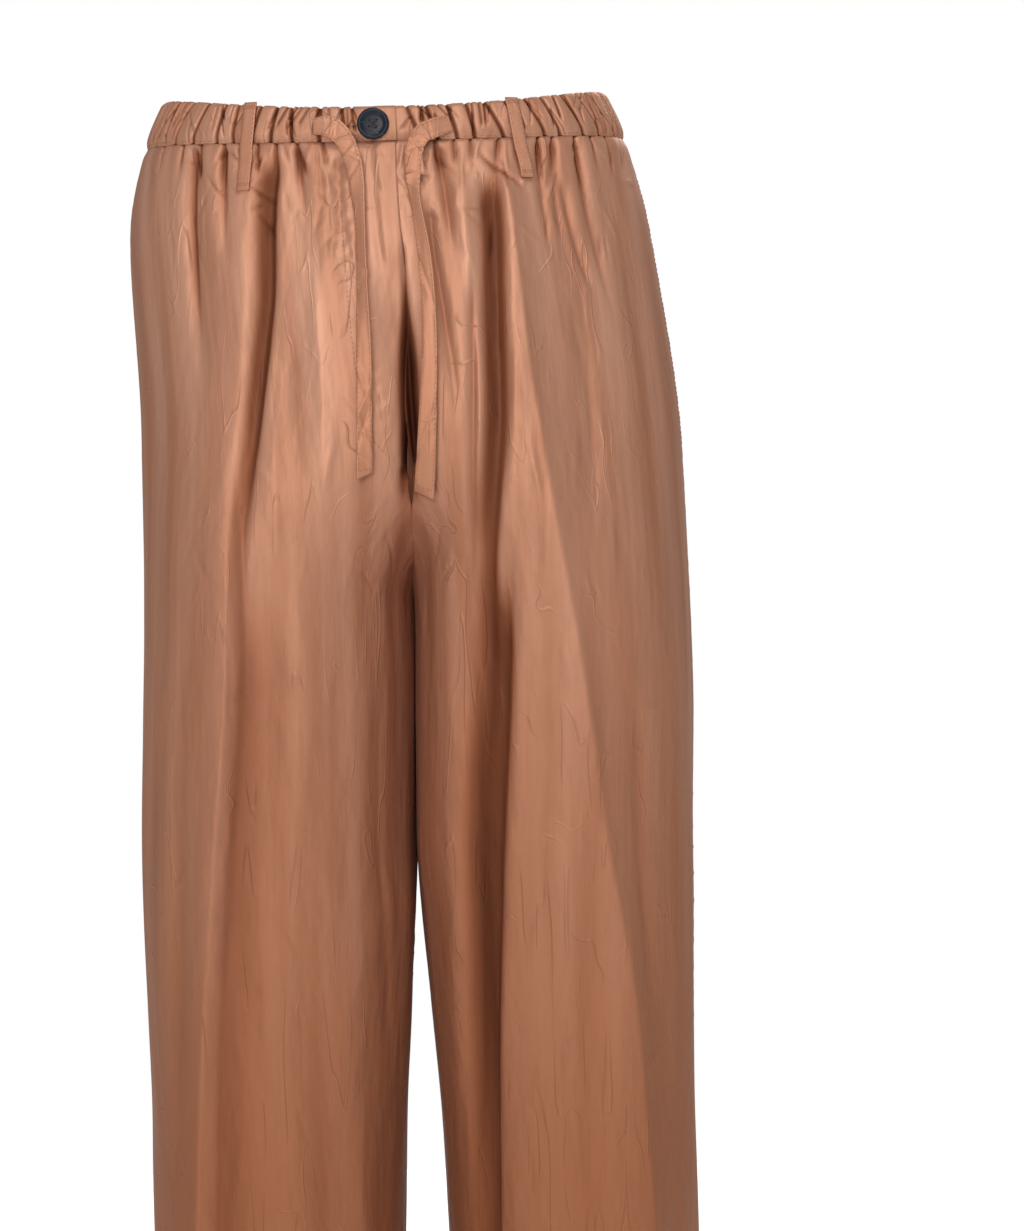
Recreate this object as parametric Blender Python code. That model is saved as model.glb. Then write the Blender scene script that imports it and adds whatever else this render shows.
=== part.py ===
"""Drawstring trousers, worn shape: gathered elastic band, lapped fly, two straight wide legs.

Metres, +Z up, front towards -Y. The origin is the middle of the waist opening, level with the
top of the band at the sides. Wearer's left is +X. Lengths in the tables are millimetres.
"""
import math
from typing import NamedTuple

import bmesh
import bpy
import numpy as np
from mathutils import Vector

MM = 0.001

# Whole garment
HEM_Z = -1020.0
CROTCH_Z = -290.0
CLOTH = 1.4
BAND_CLOTH = 2.2
SEAM_GAP = 0.3

# Waistband: its upper and lower edge dip towards the centre front
BAND_TOP_SIDE = 0.0
BAND_TOP_FRONT = -13.0
BAND_TOP_BACK = 4.0
BAND_LOW_SIDE = -27.0
BAND_LOW_FRONT = -33.0
BAND_LOW_BACK = -24.0
BAND_PUFF = 1.4
SEAM_PINCH = 1.0

# Fly: the wearer's right front laps over the left one
LAP_REACH = 8.0
LAP_TUCK = 6.0
LAP_LIFT = CLOTH + 0.45
BAND_LAP_LIFT = BAND_CLOTH + 0.45

# Button on the lapped band end
BUTTON_RADIUS = 9.0
BUTTON_HEIGHT = 3.2
BUTTON_X = -4.5
BUTTON_Z = -23.6
BUTTON_HOLE_RADIUS = 0.95
BUTTON_HOLE_PITCH = 1.75

# Belt loops
LOOP_WIDTH = 7.8
LOOP_CLOTH = 1.3
LOOP_CLEAR = 0.5

# Ties
TIE_CLOTH = 1.1

FRONT = -1.0
BACK = 1.0
LEFT = 1.0
RIGHT = -1.0


class Level(NamedTuple):
    """One horizontal section of the wearer's left half."""

    z: float
    side: float
    front: float
    back: float
    inner: float
    power: float


LEVELS = (
    Level(8.0, 126.0, -90.0, 88.0, -126.0, 2.10),
    Level(-2.0, 129.0, -92.0, 91.0, -129.0, 2.10),
    Level(-30.0, 140.0, -98.0, 99.0, -140.0, 2.12),
    Level(-75.0, 150.0, -105.0, 110.0, -150.0, 2.16),
    Level(-130.0, 153.5, -110.0, 120.0, -153.5, 2.20),
    Level(-178.0, 155.5, -112.0, 126.0, -154.0, 2.24),
    Level(-205.0, 156.5, -112.5, 127.5, -112.0, 2.26),
    Level(-230.0, 157.0, -112.0, 127.0, -56.0, 2.28),
    Level(-262.0, 157.5, -110.5, 125.0, -18.0, 2.30),
    Level(-282.0, 158.0, -109.5, 122.8, -4.0, 2.32),
    Level(-290.0, 158.2, -109.0, 122.0, 0.55, 2.34),
    Level(-360.0, 159.5, -105.0, 115.0, 0.7, 2.36),
    Level(-447.0, 159.5, -100.0, 108.0, 1.2, 2.36),
    Level(-520.0, 158.0, -96.0, 103.0, 5.5, 2.34),
    Level(-593.0, 156.5, -93.0, 99.0, 10.5, 2.32),
    Level(-750.0, 156.5, -89.0, 93.0, 15.5, 2.30),
    Level(-900.0, 158.0, -87.0, 90.0, 18.5, 2.30),
    Level(-1020.0, 160.0, -86.0, 88.0, 20.5, 2.30),
)


class Drift(NamedTuple):
    """Sideways hang of the whole garment and the depth of its widest line."""

    z: float
    lean: float
    side_y: float


DRIFTS = (
    Drift(8.0, 0.0, 0.0),
    Drift(-40.0, 0.0, 0.0),
    Drift(-200.0, 11.5, 3.0),
    Drift(-300.0, 12.5, 5.0),
    Drift(-450.0, 9.5, 4.0),
    Drift(-600.0, 10.0, 3.0),
    Drift(-1020.0, 10.0, 2.0),
)


class Fold(NamedTuple):
    """One long fold: its path from top to low end, its height out (+) or in (-), its flanks."""

    top: float
    low: float
    x_top: float
    x_mid: float
    x_low: float
    rise: float
    flank_in: float
    flank_out: float
    fade_top: float
    fade_low: float


LEFT_FRONT_FOLDS = (
    Fold(-42.0, -1040.0, 60.0, 118.0, 133.0, 4.6, 20.0, 15.0, 60.0, 20.0),
    Fold(-50.0, -330.0, 56.5, 52.0, 74.0, -6.5, 9.0, 9.0, 30.0, 120.0),
    Fold(-30.0, -105.0, 31.8, 34.5, 36.0, -3.4, 3.4, 3.4, 8.0, 40.0),
    Fold(-60.0, -200.0, 24.5, 26.5, 29.0, -3.2, 4.5, 4.5, 20.0, 70.0),
    Fold(-45.0, -300.0, 43.5, 36.0, 30.0, 3.6, 6.5, 6.5, 25.0, 120.0),
    Fold(-235.0, -1040.0, 49.5, 46.0, 48.0, 3.4, 16.0, 6.0, 80.0, 160.0),
    Fold(-330.0, -560.0, 33.5, 32.0, 30.0, -2.0, 6.0, 6.0, 60.0, 80.0),
    Fold(-215.0, -560.0, 25.0, 21.0, 22.0, 2.4, 8.0, 8.0, 80.0, 120.0),
    Fold(-28.0, -110.0, 88.7, 89.0, 91.0, -2.8, 4.0, 4.0, 8.0, 50.0),
    Fold(-28.0, -120.0, 95.6, 97.0, 100.0, -2.6, 4.2, 4.2, 8.0, 60.0),
    Fold(-28.0, -150.0, 110.0, 116.0, 124.0, -3.2, 5.0, 5.0, 8.0, 70.0),
    Fold(-300.0, -1040.0, 96.0, 88.0, 84.0, -2.2, 16.0, 16.0, 120.0, 200.0),
    Fold(-640.0, -1040.0, 112.0, 100.0, 92.0, 2.0, 14.0, 10.0, 120.0, 60.0),
)
RIGHT_FRONT_FOLDS = (
    Fold(-70.0, -1040.0, 72.0, 119.0, 133.0, 4.8, 14.0, 20.0, 60.0, 20.0),
    Fold(-34.0, -560.0, 60.0, 86.0, 104.0, -6.5, 9.0, 8.0, 20.0, 260.0),
    Fold(-26.0, -170.0, 107.5, 112.0, 115.0, -4.6, 5.5, 5.5, 8.0, 80.0),
    Fold(-28.0, -105.0, 89.6, 91.0, 93.0, -3.2, 4.2, 4.2, 8.0, 45.0),
    Fold(-30.0, -85.0, 47.9, 46.0, 44.0, -3.0, 3.4, 3.4, 6.0, 35.0),
    Fold(-34.0, -110.0, 24.9, 25.5, 27.0, -2.6, 4.0, 4.0, 10.0, 45.0),
    Fold(-70.0, -270.0, 32.0, 40.0, 46.0, 3.4, 10.0, 10.0, 50.0, 110.0),
    Fold(-230.0, -520.0, 62.0, 65.0, 66.0, 3.0, 14.0, 14.0, 110.0, 150.0),
    Fold(-420.0, -1040.0, 58.0, 52.0, 50.0, -2.2, 12.0, 14.0, 140.0, 200.0),
    Fold(-560.0, -1040.0, 36.0, 32.0, 34.0, 2.4, 9.0, 12.0, 140.0, 60.0),
    Fold(-250.0, -700.0, 128.0, 132.0, 138.0, -2.0, 9.0, 9.0, 120.0, 160.0),
)
LEFT_BACK_FOLDS = (
    Fold(-60.0, -1040.0, 62.0, 88.0, 96.0, 4.2, 18.0, 18.0, 90.0, 20.0),
    Fold(-26.0, -300.0, 40.0, 43.0, 50.0, -5.0, 8.0, 8.0, 20.0, 150.0),
    Fold(-26.0, -220.0, 80.0, 84.0, 88.0, -4.4, 7.0, 7.0, 20.0, 110.0),
    Fold(-26.0, -170.0, 108.0, 113.0, 118.0, -3.6, 6.0, 6.0, 20.0, 80.0),
    Fold(-26.0, -140.0, 20.0, 22.0, 25.0, -2.8, 5.0, 5.0, 12.0, 70.0),
    Fold(-250.0, -620.0, 44.0, 40.0, 38.0, -3.0, 10.0, 10.0, 120.0, 180.0),
    Fold(-330.0, -1040.0, 118.0, 122.0, 126.0, -2.6, 12.0, 12.0, 150.0, 200.0),
    Fold(-560.0, -1040.0, 52.0, 56.0, 58.0, 2.4, 12.0, 12.0, 160.0, 60.0),
)
RIGHT_BACK_FOLDS = (
    Fold(-60.0, -1040.0, 64.0, 86.0, 94.0, 4.0, 18.0, 18.0, 90.0, 20.0),
    Fold(-26.0, -270.0, 34.0, 37.0, 43.0, -4.6, 7.5, 7.5, 20.0, 130.0),
    Fold(-26.0, -250.0, 73.0, 78.0, 83.0, -4.8, 7.5, 7.5, 20.0, 120.0),
    Fold(-26.0, -160.0, 102.0, 107.0, 112.0, -3.4, 6.0, 6.0, 20.0, 80.0),
    Fold(-280.0, -660.0, 48.0, 43.0, 40.0, -3.2, 11.0, 11.0, 130.0, 190.0),
    Fold(-360.0, -1040.0, 121.0, 124.0, 127.0, -2.4, 12.0, 12.0, 160.0, 200.0),
    Fold(-600.0, -1040.0, 56.0, 60.0, 62.0, 2.2, 12.0, 12.0, 160.0, 60.0),
)


class Gather(NamedTuple):
    """One groove that the elastic draws in the band, and its run into the cloth below."""

    x_top: float
    x_seam: float
    x_low: float
    reach: float
    depth: float
    flank: float


LEFT_FRONT_GATHERS = (
    Gather(14.2, 20.7, 22.0, 16.0, 2.2, 2.8),
    Gather(25.0, 30.0, 32.0, 26.0, 2.6, 2.8),
    Gather(37.0, 40.5, 42.0, 22.0, 2.4, 2.8),
    Gather(48.0, 50.0, 50.5, 24.0, 2.6, 2.8),
    Gather(59.0, 66.0, 62.0, 26.0, 2.6, 3.2),
    Gather(71.0, 76.0, 78.0, 22.0, 2.2, 2.8),
    Gather(82.2, 88.7, 89.0, 30.0, 2.8, 2.8),
    Gather(91.9, 97.0, 98.5, 30.0, 2.6, 2.8),
    Gather(104.7, 110.0, 115.0, 38.0, 3.0, 3.0),
    Gather(113.8, 119.5, 124.0, 26.0, 2.2, 3.0),
    Gather(121.0, 128.5, 133.0, 22.0, 2.0, 3.0),
)
RIGHT_FRONT_GATHERS = (
    Gather(22.3, 18.5, 15.0, 24.0, 2.2, 2.8),
    Gather(34.0, 33.0, 30.0, 22.0, 2.4, 2.8),
    Gather(50.9, 47.9, 45.5, 28.0, 2.8, 2.8),
    Gather(59.0, 60.0, 60.0, 30.0, 2.8, 3.0),
    Gather(68.5, 70.5, 71.0, 24.0, 2.6, 2.8),
    Gather(81.9, 80.5, 81.0, 20.0, 2.6, 2.8),
    Gather(89.6, 90.0, 91.5, 36.0, 2.6, 2.8),
    Gather(100.5, 104.0, 106.0, 30.0, 2.8, 3.0),
    Gather(111.0, 115.0, 118.0, 26.0, 2.4, 3.0),
    Gather(120.5, 127.0, 130.0, 22.0, 2.0, 3.0),
)
BACK_GATHER_COUNT = 11
BACK_GATHER_FIRST = 9.0
BACK_GATHER_LAST = 121.0


def back_gathers(turn: float) -> tuple:
    """Evenly drawn grooves of one back half, each a little off the regular pitch."""
    made = []
    for index in range(BACK_GATHER_COUNT):
        share = index / (BACK_GATHER_COUNT - 1)
        spread = math.sin(share * math.pi / 2)
        x_top = BACK_GATHER_FIRST + (BACK_GATHER_LAST - BACK_GATHER_FIRST) * spread
        sway = 2.0 * math.sin(2.3 * index + turn)
        reach = 26.0 + 9.0 * math.sin(1.7 * index + turn)
        depth = 2.4 + 0.4 * math.sin(3.1 * index + turn)
        x_seam = 1.06 * x_top + sway
        made.append(Gather(x_top, x_seam, x_seam + 0.5 * sway, reach, depth, 3.0))
    return tuple(made)


FOLDS = {
    (LEFT, FRONT): LEFT_FRONT_FOLDS,
    (RIGHT, FRONT): RIGHT_FRONT_FOLDS,
    (LEFT, BACK): LEFT_BACK_FOLDS,
    (RIGHT, BACK): RIGHT_BACK_FOLDS,
}
GATHERS = {
    (LEFT, FRONT): LEFT_FRONT_GATHERS,
    (RIGHT, FRONT): RIGHT_FRONT_GATHERS,
    (LEFT, BACK): back_gathers(0.4),
    (RIGHT, BACK): back_gathers(2.1),
}

# Heights of the panel's rows below the band seam; the upper ones carry twice the columns
PANEL_ROWS = (
    -30.0, -38.0, -49.0, -66.0, -90.0, -118.0, -148.0, -178.0, -204.0, -228.0, -250.0, -268.0,
    -281.0, -287.5, -290.0, -312.0, -350.0, -398.0, -450.0, -540.0, -660.0, -820.0, -1020.0,
)
FINE_ROWS = 2
PANEL_COLUMNS = {FRONT: 24, BACK: 20}
ANCHOR_X = 60.0
ANCHOR_SHARE = 0.42
BAND_ROWS = (0.0, 0.5, 1.0)
BAND_COLUMNS = 92


def ease(value):
    """Smooth step from 0 to 1."""
    t = np.clip(value, 0.0, 1.0)
    return t * t * (3.0 - 2.0 * t)


def along(rows, column: str, z):
    """One column of a table at the heights z, as a smooth curve that never overshoots."""
    knots = np.array([row.z for row in rows])[::-1]
    values = np.array([getattr(row, column) for row in rows])[::-1]
    steps = np.diff(knots)
    slopes = np.diff(values) / steps
    tangents = np.zeros_like(values)
    product = slopes[:-1] * slopes[1:]
    total = slopes[:-1] + slopes[1:]
    safe = np.where(np.abs(total) < 1e-9, 1.0, total)
    tangents[1:-1] = np.where(product > 0.0, 2.0 * product / safe, 0.0)
    tangents[0] = slopes[0]
    tangents[-1] = slopes[-1]
    z = np.clip(np.asarray(z, dtype=float), knots[0], knots[-1])
    place = np.clip(np.searchsorted(knots, z, side="right") - 1, 0, len(steps) - 1)
    h = steps[place]
    t = (z - knots[place]) / h
    a = (1 + 2 * t) * (1 - t) ** 2 * values[place]
    b = t * (1 - t) ** 2 * h * tangents[place]
    c = t * t * (3 - 2 * t) * values[place + 1]
    d = t * t * (t - 1) * h * tangents[place + 1]
    return a + b + c + d


def oval(z, theta, face: float):
    """Point of one half's oval: theta is 0 at the front or back, 90 degrees at the side."""
    side = along(LEVELS, "side", z)
    inner = along(LEVELS, "inner", z)
    power = 2.0 / along(LEVELS, "power", z)
    middle_y = along(DRIFTS, "side_y", z)
    reach_y = along(LEVELS, "front" if face == FRONT else "back", z)
    sine = np.sin(theta)
    cosine = np.maximum(np.cos(theta), 0.0)
    x = 0.5 * (side + inner) + 0.5 * (side - inner) * np.sign(sine) * np.abs(sine) ** power
    y = middle_y + (reach_y - middle_y) * cosine ** power
    return x, y


def start_angle(z: float, edge: float) -> float:
    """Angle where the oval meets the line x = edge, or its innermost point."""
    side = float(along(LEVELS, "side", z))
    inner = float(along(LEVELS, "inner", z))
    power = float(along(LEVELS, "power", z))
    share = (edge - 0.5 * (side + inner)) / (0.5 * (side - inner))
    if share <= -1.0:
        return -math.pi / 2
    return math.asin(math.copysign(abs(share) ** (power / 2.0), share))


def lap_reach(z: float) -> float:
    """How far the fly's edge line stands past the centre line."""
    return LAP_REACH * float(1.0 - ease((-z - 95.0) / 95.0))


def centre_edge(side: float, face: float, z: float) -> float:
    """The centre edge of a front or back, in the half's own x."""
    gap = 0.5 * SEAM_GAP
    if z <= CROTCH_Z:
        return -1000.0
    if face == BACK:
        return gap
    if side == RIGHT:
        return gap - lap_reach(z)
    return gap + lap_reach(z) - LAP_TUCK * float(1.0 - ease((-z - 60.0) / 28.0))


class Section(NamedTuple):
    """A panel's outline at one height: angle, x, y, cloth length and outward direction."""

    theta: np.ndarray
    x: np.ndarray
    y: np.ndarray
    arc: np.ndarray
    out_x: np.ndarray
    out_y: np.ndarray


def section(side: float, face: float, z: float, edge: float) -> Section:
    """The section from the centre edge to the side seam."""
    theta = np.linspace(start_angle(z, edge), math.pi / 2, 241)
    x, y = oval(z, theta, face)
    step_x = np.gradient(x)
    step_y = np.gradient(y)
    size = np.hypot(step_x, step_y) + 1e-12
    out_x = -face * step_y / size
    out_y = face * step_x / size
    arc = np.concatenate(([0.0], np.cumsum(np.hypot(np.diff(x), np.diff(y)))))
    # beside the side seam both panels point straight out
    out_x[-1], out_y[-1] = 1.0, 0.0
    if edge < -500.0:
        out_x[0], out_y[0] = -1.0, 0.0
    return Section(theta, x, y, arc, out_x, out_y)


def fold_height(fold: Fold, z: float, arc, cut: Section):
    """Height of one fold at a height z for the cloth lengths arc."""
    if z > fold.top or z < fold.low:
        return np.zeros_like(arc)
    t = (fold.top - z) / (fold.top - fold.low)
    x = fold.x_top * (1 - t) * (1 - 2 * t) + 4 * fold.x_mid * t * (1 - t) + fold.x_low * t * (2 * t - 1)
    place = np.interp(x, cut.x, cut.arc)
    show = float(ease((fold.top - z) / fold.fade_top) * ease((z - fold.low) / fold.fade_low))
    offset = arc - place
    flank = np.where(offset < 0.0, fold.flank_in, fold.flank_out)
    return fold.rise * show * np.exp(-np.abs(offset / flank) ** 1.6)


def gather_height(gather: Gather, z, low, top, arc, cut: Section):
    """Depth of one gather; in the band it leans from top to seam, below it dies out."""
    in_band = np.clip((top - z) / np.maximum(top - low, 1.0), 0.0, 1.0)
    below = np.clip((low - z) / gather.reach, 0.0, 1.0)
    x = gather.x_top + (gather.x_seam - gather.x_top) * in_band
    x = x + (gather.x_low - gather.x_seam) * below
    place = np.interp(x, cut.x, cut.arc)
    show = 1.0 - ease(below)
    flank = gather.flank * (1.0 + 0.5 * below)
    return -gather.depth * show * np.exp(-((arc - place) / flank) ** 2)


def band_edges(theta, face: float):
    """Heights of the band's upper and lower edge round the waist."""
    share = np.cos(theta) ** 2
    end_top = BAND_TOP_FRONT if face == FRONT else BAND_TOP_BACK
    end_low = BAND_LOW_FRONT if face == FRONT else BAND_LOW_BACK
    top = BAND_TOP_SIDE + (end_top - BAND_TOP_SIDE) * share
    low = BAND_LOW_SIDE + (end_low - BAND_LOW_SIDE) * share
    return top, low


def relief(side: float, face: float, z, arc, x, theta, cut: Section):
    """How far the cloth's outside stands from the plain section."""
    top, low = band_edges(theta, face)
    level = float(np.mean(z))
    height = np.zeros_like(arc)
    for fold in FOLDS[(side, face)]:
        height = height + fold_height(fold, level, arc, cut)
    height = height * (1.0 - ease((z - low + 6.0) / 6.0))
    for gather in GATHERS[(side, face)]:
        height = height + gather_height(gather, z, low, top, arc, cut)
    start = ease((arc - 1.0) / 12.0)
    if side == RIGHT and face == FRONT and level > -190.0:
        start = ease((x - 3.0) / 11.0)
    height = height * start * ease((cut.arc[-1] - 1.0 - arc) / 13.0)
    in_band = np.clip((z - low) / np.maximum(top - low, 1.0), 0.0, 1.0)
    height = height + BAND_PUFF * np.sin(math.pi * in_band) ** 0.7
    height = height - SEAM_PINCH * np.exp(-((z - low) / 5.0) ** 2)
    if face == FRONT:
        # the soft valley beside the fly
        show = ease((-z - 92.0) / 50.0) * ease((z + 245.0) / 60.0)
        height = height - 4.5 * show * np.exp(-((x * side) / 8.0) ** 2)
    return height


def lap_lift(x, z, full: float):
    """Lift of the lapping front near its edge, where the other front lies beneath."""
    show = 1.0 - ease((-z - 92.0) / 24.0)
    return full * show * ease((6.0 - x) / 5.0)


def spread(cut: Section, shares, first: float, last: float):
    """Cloth lengths for the column shares; a fixed share of them lies inside the anchor line."""
    anchor = float(np.interp(ANCHOR_X, cut.x, cut.arc))
    inside = first + (anchor - first) * shares / ANCHOR_SHARE
    outside = anchor + (last - anchor) * (shares - ANCHOR_SHARE) / (1.0 - ANCHOR_SHARE)
    return np.where(shares < ANCHOR_SHARE, inside, outside)


def panel_points(side: float, face: float, level: float, shares, inward: float):
    """Points of a panel's row: inward is the distance behind the outside of the cloth."""
    edge = centre_edge(side, face, level)
    cut = section(side, face, level, edge)
    open_end = 0.5 * SEAM_GAP if level <= CROTCH_Z else 0.0
    arc = spread(cut, np.asarray(shares), open_end, cut.arc[-1] - 0.5 * SEAM_GAP)
    theta = np.interp(arc, cut.arc, cut.theta)
    top, low = band_edges(theta, face)
    z = level + (low - SEAM_GAP - PANEL_ROWS[0]) * (1.0 - ease((PANEL_ROWS[0] - level) / 80.0))
    z = np.maximum(z, HEM_Z)
    x, y = oval(z, theta, face)
    # keep the centre edge on its line and the open ends of the seams apart
    x = x + (np.interp(arc, cut.arc, cut.x) - np.interp(theta, cut.theta, oval(level, cut.theta, face)[0]))
    y = y + face * 0.5 * SEAM_GAP * (np.asarray(shares) > 0.999)
    if level <= CROTCH_Z:
        y = y + face * 0.5 * SEAM_GAP * (np.asarray(shares) < 0.001)
    out_x = np.interp(arc, cut.arc, cut.out_x)
    out_y = np.interp(arc, cut.arc, cut.out_y)
    height = relief(side, face, z, arc, x, theta, cut)
    if side == RIGHT and face == FRONT:
        height = height + lap_lift(x, z, LAP_LIFT)
    height = height - inward
    lean = along(DRIFTS, "lean", z)
    return np.stack([side * (x + height * out_x) + lean, y + height * out_y, z], axis=-1) * MM


def band_points(side: float, share_up: float, shares, inward: float):
    """Points of a band half's row from its front end to the centre back."""
    level = 0.5 * (BAND_LOW_SIDE + BAND_TOP_SIDE)
    front = section(side, FRONT, level, band_end(side))
    rear = section(side, BACK, level, 0.5 * SEAM_GAP)
    total = front.arc[-1] + rear.arc[-1]
    run = total * np.asarray(shares)
    made = np.zeros((len(run), 3))
    for face, cut in ((FRONT, front), (BACK, rear)):
        chosen = run <= front.arc[-1] if face == FRONT else run > front.arc[-1]
        arc = run[chosen] if face == FRONT else total - run[chosen]
        theta = np.interp(arc, cut.arc, cut.theta)
        top, low = band_edges(theta, face)
        z = low + (top - low) * (1.0 - share_up)
        x, y = oval(z, theta, face)
        out_x = np.interp(arc, cut.arc, cut.out_x)
        out_y = np.interp(arc, cut.arc, cut.out_y)
        height = band_relief(side, face, z, arc, x, theta, cut) - inward
        made[chosen] = np.stack([side * (x + height * out_x), y + height * out_y, z], axis=-1)
    return made * MM


def band_end(side: float) -> float:
    """Front end of a band half, in the half's own x."""
    return 0.5 * SEAM_GAP - LAP_REACH if side == RIGHT else 0.5 * SEAM_GAP + LAP_REACH - LAP_TUCK


def band_relief(side: float, face: float, z, arc, x, theta, cut: Section):
    """Relief of the band's outside, with the lapped end lifted."""
    height = relief(side, face, z, arc, x, theta, cut)
    if side == RIGHT and face == FRONT:
        height = height + lap_lift(x, z, BAND_LAP_LIFT)
    return height


def skin(x: float, z: float, face: float):
    """Outside of the garment at world x and height z: base point, outward direction, relief."""
    lean = float(along(DRIFTS, "lean", z))
    side = LEFT if x - lean >= 0.0 else RIGHT
    own = abs(x - lean)
    cut = section(side, face, z, 0.0 if z > CROTCH_Z else -1000.0)
    arc = np.array([np.interp(own, cut.x, cut.arc)])
    theta = np.interp(arc, cut.arc, cut.theta)
    y = float(np.interp(arc, cut.arc, cut.y)[0])
    out_x = float(np.interp(arc, cut.arc, cut.out_x)[0])
    out_y = float(np.interp(arc, cut.arc, cut.out_y)[0])
    tall = np.array([z])
    height = relief(side, face, tall, arc, np.array([own]), theta, cut)
    if face == FRONT and (side == RIGHT or own < LAP_REACH):
        full = BAND_LAP_LIFT if z > band_edges(theta, face)[1][0] else LAP_LIFT
        height = height + lap_lift(np.array([own if side == RIGHT else -own]), tall, full)
    return Vector((x, y, z)), Vector((side * out_x, out_y, 0.0)), float(height[0])


def outer_skin(x: float, z: float, face: float, reach: float = 5.0):
    """As skin(), with the highest relief within reach of the point."""
    base, out, height = skin(x, z, face)
    for step_x in (-1.0, -0.5, 0.0, 0.5, 1.0):
        for step_z in (-1.0, 0.0, 1.0):
            height = max(height, skin(x + step_x * reach, z + step_z * reach, face)[2])
    return base, out, height


def finish_material(name: str, colour: tuple, roughness: float):
    """A plain Principled material."""
    material = bpy.data.materials.new(name)
    material.use_nodes = True
    shader = material.node_tree.nodes["Principled BSDF"]
    shader.inputs["Base Color"].default_value = (*colour, 1.0)
    shader.inputs["Roughness"].default_value = roughness
    shader.inputs["Metallic"].default_value = 0.0
    return material


def add_object(name: str, bm, material):
    """Turn the mesh into a named object with its material."""
    bmesh.ops.recalc_face_normals(bm, faces=bm.faces)
    if bm.calc_volume(signed=True) < 0.0:
        bmesh.ops.reverse_faces(bm, faces=bm.faces)
    mesh = bpy.data.meshes.new(name)
    bm.to_mesh(mesh)
    bm.free()
    mesh.materials.append(material)
    mesh.shade_smooth()
    mesh.set_sharp_from_angle(angle=math.radians(50.0))
    made = bpy.data.objects.new(name, mesh)
    bpy.context.scene.collection.objects.link(made)
    return made


def cloth_wall(name: str, columns: int, rows: int, fine: int, place, material):
    """A cloth wall: a grid, doubled into two faces; place(row, shares, inward) gives the points."""
    bm = bmesh.new()
    bmesh.ops.create_grid(bm, x_segments=columns, y_segments=rows, size=1.0)
    if fine:
        limit = 1.0 - 2.0 * (fine + 0.5) / rows
        across = []
        for edge in bm.edges:
            a, b = edge.verts
            if abs(a.co.y - b.co.y) < 1e-5 and a.co.y > limit:
                across.append(edge)
        bmesh.ops.subdivide_edges(bm, edges=across, cuts=1, use_grid_fill=True)
    made = bmesh.ops.extrude_face_region(bm, geom=list(bm.faces))
    inner = {item for item in made["geom"] if isinstance(item, bmesh.types.BMVert)}
    groups = {}
    for vert in bm.verts:
        row = int(round((1.0 - vert.co.y) * 0.5 * rows))
        groups.setdefault((row, vert in inner), []).append(vert)
    for (row, is_inner), verts in groups.items():
        shares = np.array([(vert.co.x + 1.0) * 0.5 for vert in verts])
        points = place(row, shares, is_inner)
        for vert, point in zip(verts, points):
            vert.co = point
    return add_object(name, bm, material)


def build_panel(name: str, side: float, face: float, material):
    """One front or back of a leg with its hip part."""
    def place(row, shares, is_inner):
        return panel_points(side, face, PANEL_ROWS[row], shares, CLOTH if is_inner else 0.0)

    return cloth_wall(name, PANEL_COLUMNS[face], len(PANEL_ROWS) - 1, FINE_ROWS, place, material)


def build_band(name: str, side: float, material):
    """One half of the elastic band."""
    def place(row, shares, is_inner):
        return band_points(side, BAND_ROWS[row], shares, BAND_CLOTH if is_inner else 0.0)

    return cloth_wall(name, BAND_COLUMNS, len(BAND_ROWS) - 1, 0, place, material)


class Bag(NamedTuple):
    """The pocket piece behind a front: its first and last panel row, and its columns."""

    first: int
    last: int
    columns: int
    behind: float
    cloth: float


POCKET = Bag(3, 7, 6, CLOTH + 0.5, 1.2)


def build_pocket(name: str, side: float, material):
    """The pocket piece that hangs from the side seam, made from the front's points."""
    total = PANEL_COLUMNS[FRONT]

    def place(row, shares, is_inner):
        own = 1.0 - (POCKET.columns + 0.5) / total + shares * POCKET.columns / total
        inward = POCKET.behind + (POCKET.cloth if is_inner else 0.0)
        return panel_points(side, FRONT, PANEL_ROWS[POCKET.first + row], own, inward)

    return cloth_wall(name, POCKET.columns, POCKET.last - POCKET.first, 0, place, material)


class Strap(NamedTuple):
    """A belt loop: its upper and lower end."""

    name: str
    face: float
    x_top: float
    z_top: float
    x_low: float
    z_low: float


STRAPS = (
    Strap("belt_loop_front_left", FRONT, 72.6, -8.5, 80.2, -54.5),
    Strap("belt_loop_front_right", FRONT, -72.7, -8.0, -78.3, -58.5),
    Strap("belt_loop_back_left", BACK, 88.0, 0.5, 92.0, -50.0),
    Strap("belt_loop_back_right", BACK, -88.0, 0.5, -91.0, -50.0),
    Strap("belt_loop_back_middle", BACK, 0.0, 2.5, 1.0, -48.0),
)
STRAP_ROWS = 8


def build_strap(strap: Strap, material):
    """A flat loop sewn at the band's top and below its lower seam, clear of the gathers."""
    stations = []
    for row in range(STRAP_ROWS + 1):
        t = row / STRAP_ROWS
        x = strap.x_top + (strap.x_low - strap.x_top) * t
        z = strap.z_top + (strap.z_low - strap.z_top) * t
        stations.append(outer_skin(x, z, strap.face, 5.5))
    heights = [station[2] for station in stations]
    smooth = []
    for row in range(STRAP_ROWS + 1):
        near = heights[max(row - 1, 0):row + 2]
        smooth.append(max(near))

    def place(row, shares, is_inner):
        base, out, _ = stations[row]
        across = Vector((0.0, 0.0, 1.0)).cross(out)
        lift = smooth[row] + LOOP_CLEAR + (0.0 if is_inner else LOOP_CLOTH)
        points = []
        for share in shares:
            point = base + out * lift + across * ((share - 0.5) * LOOP_WIDTH)
            points.append(point * MM)
        return points

    return cloth_wall(strap.name, 2, STRAP_ROWS, 0, place, material)


class Tie(NamedTuple):
    """One point of a tie's route: world x and height, clearance, width, turn in degrees."""

    x: float
    z: float
    clear: float
    width: float
    turn: float


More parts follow.
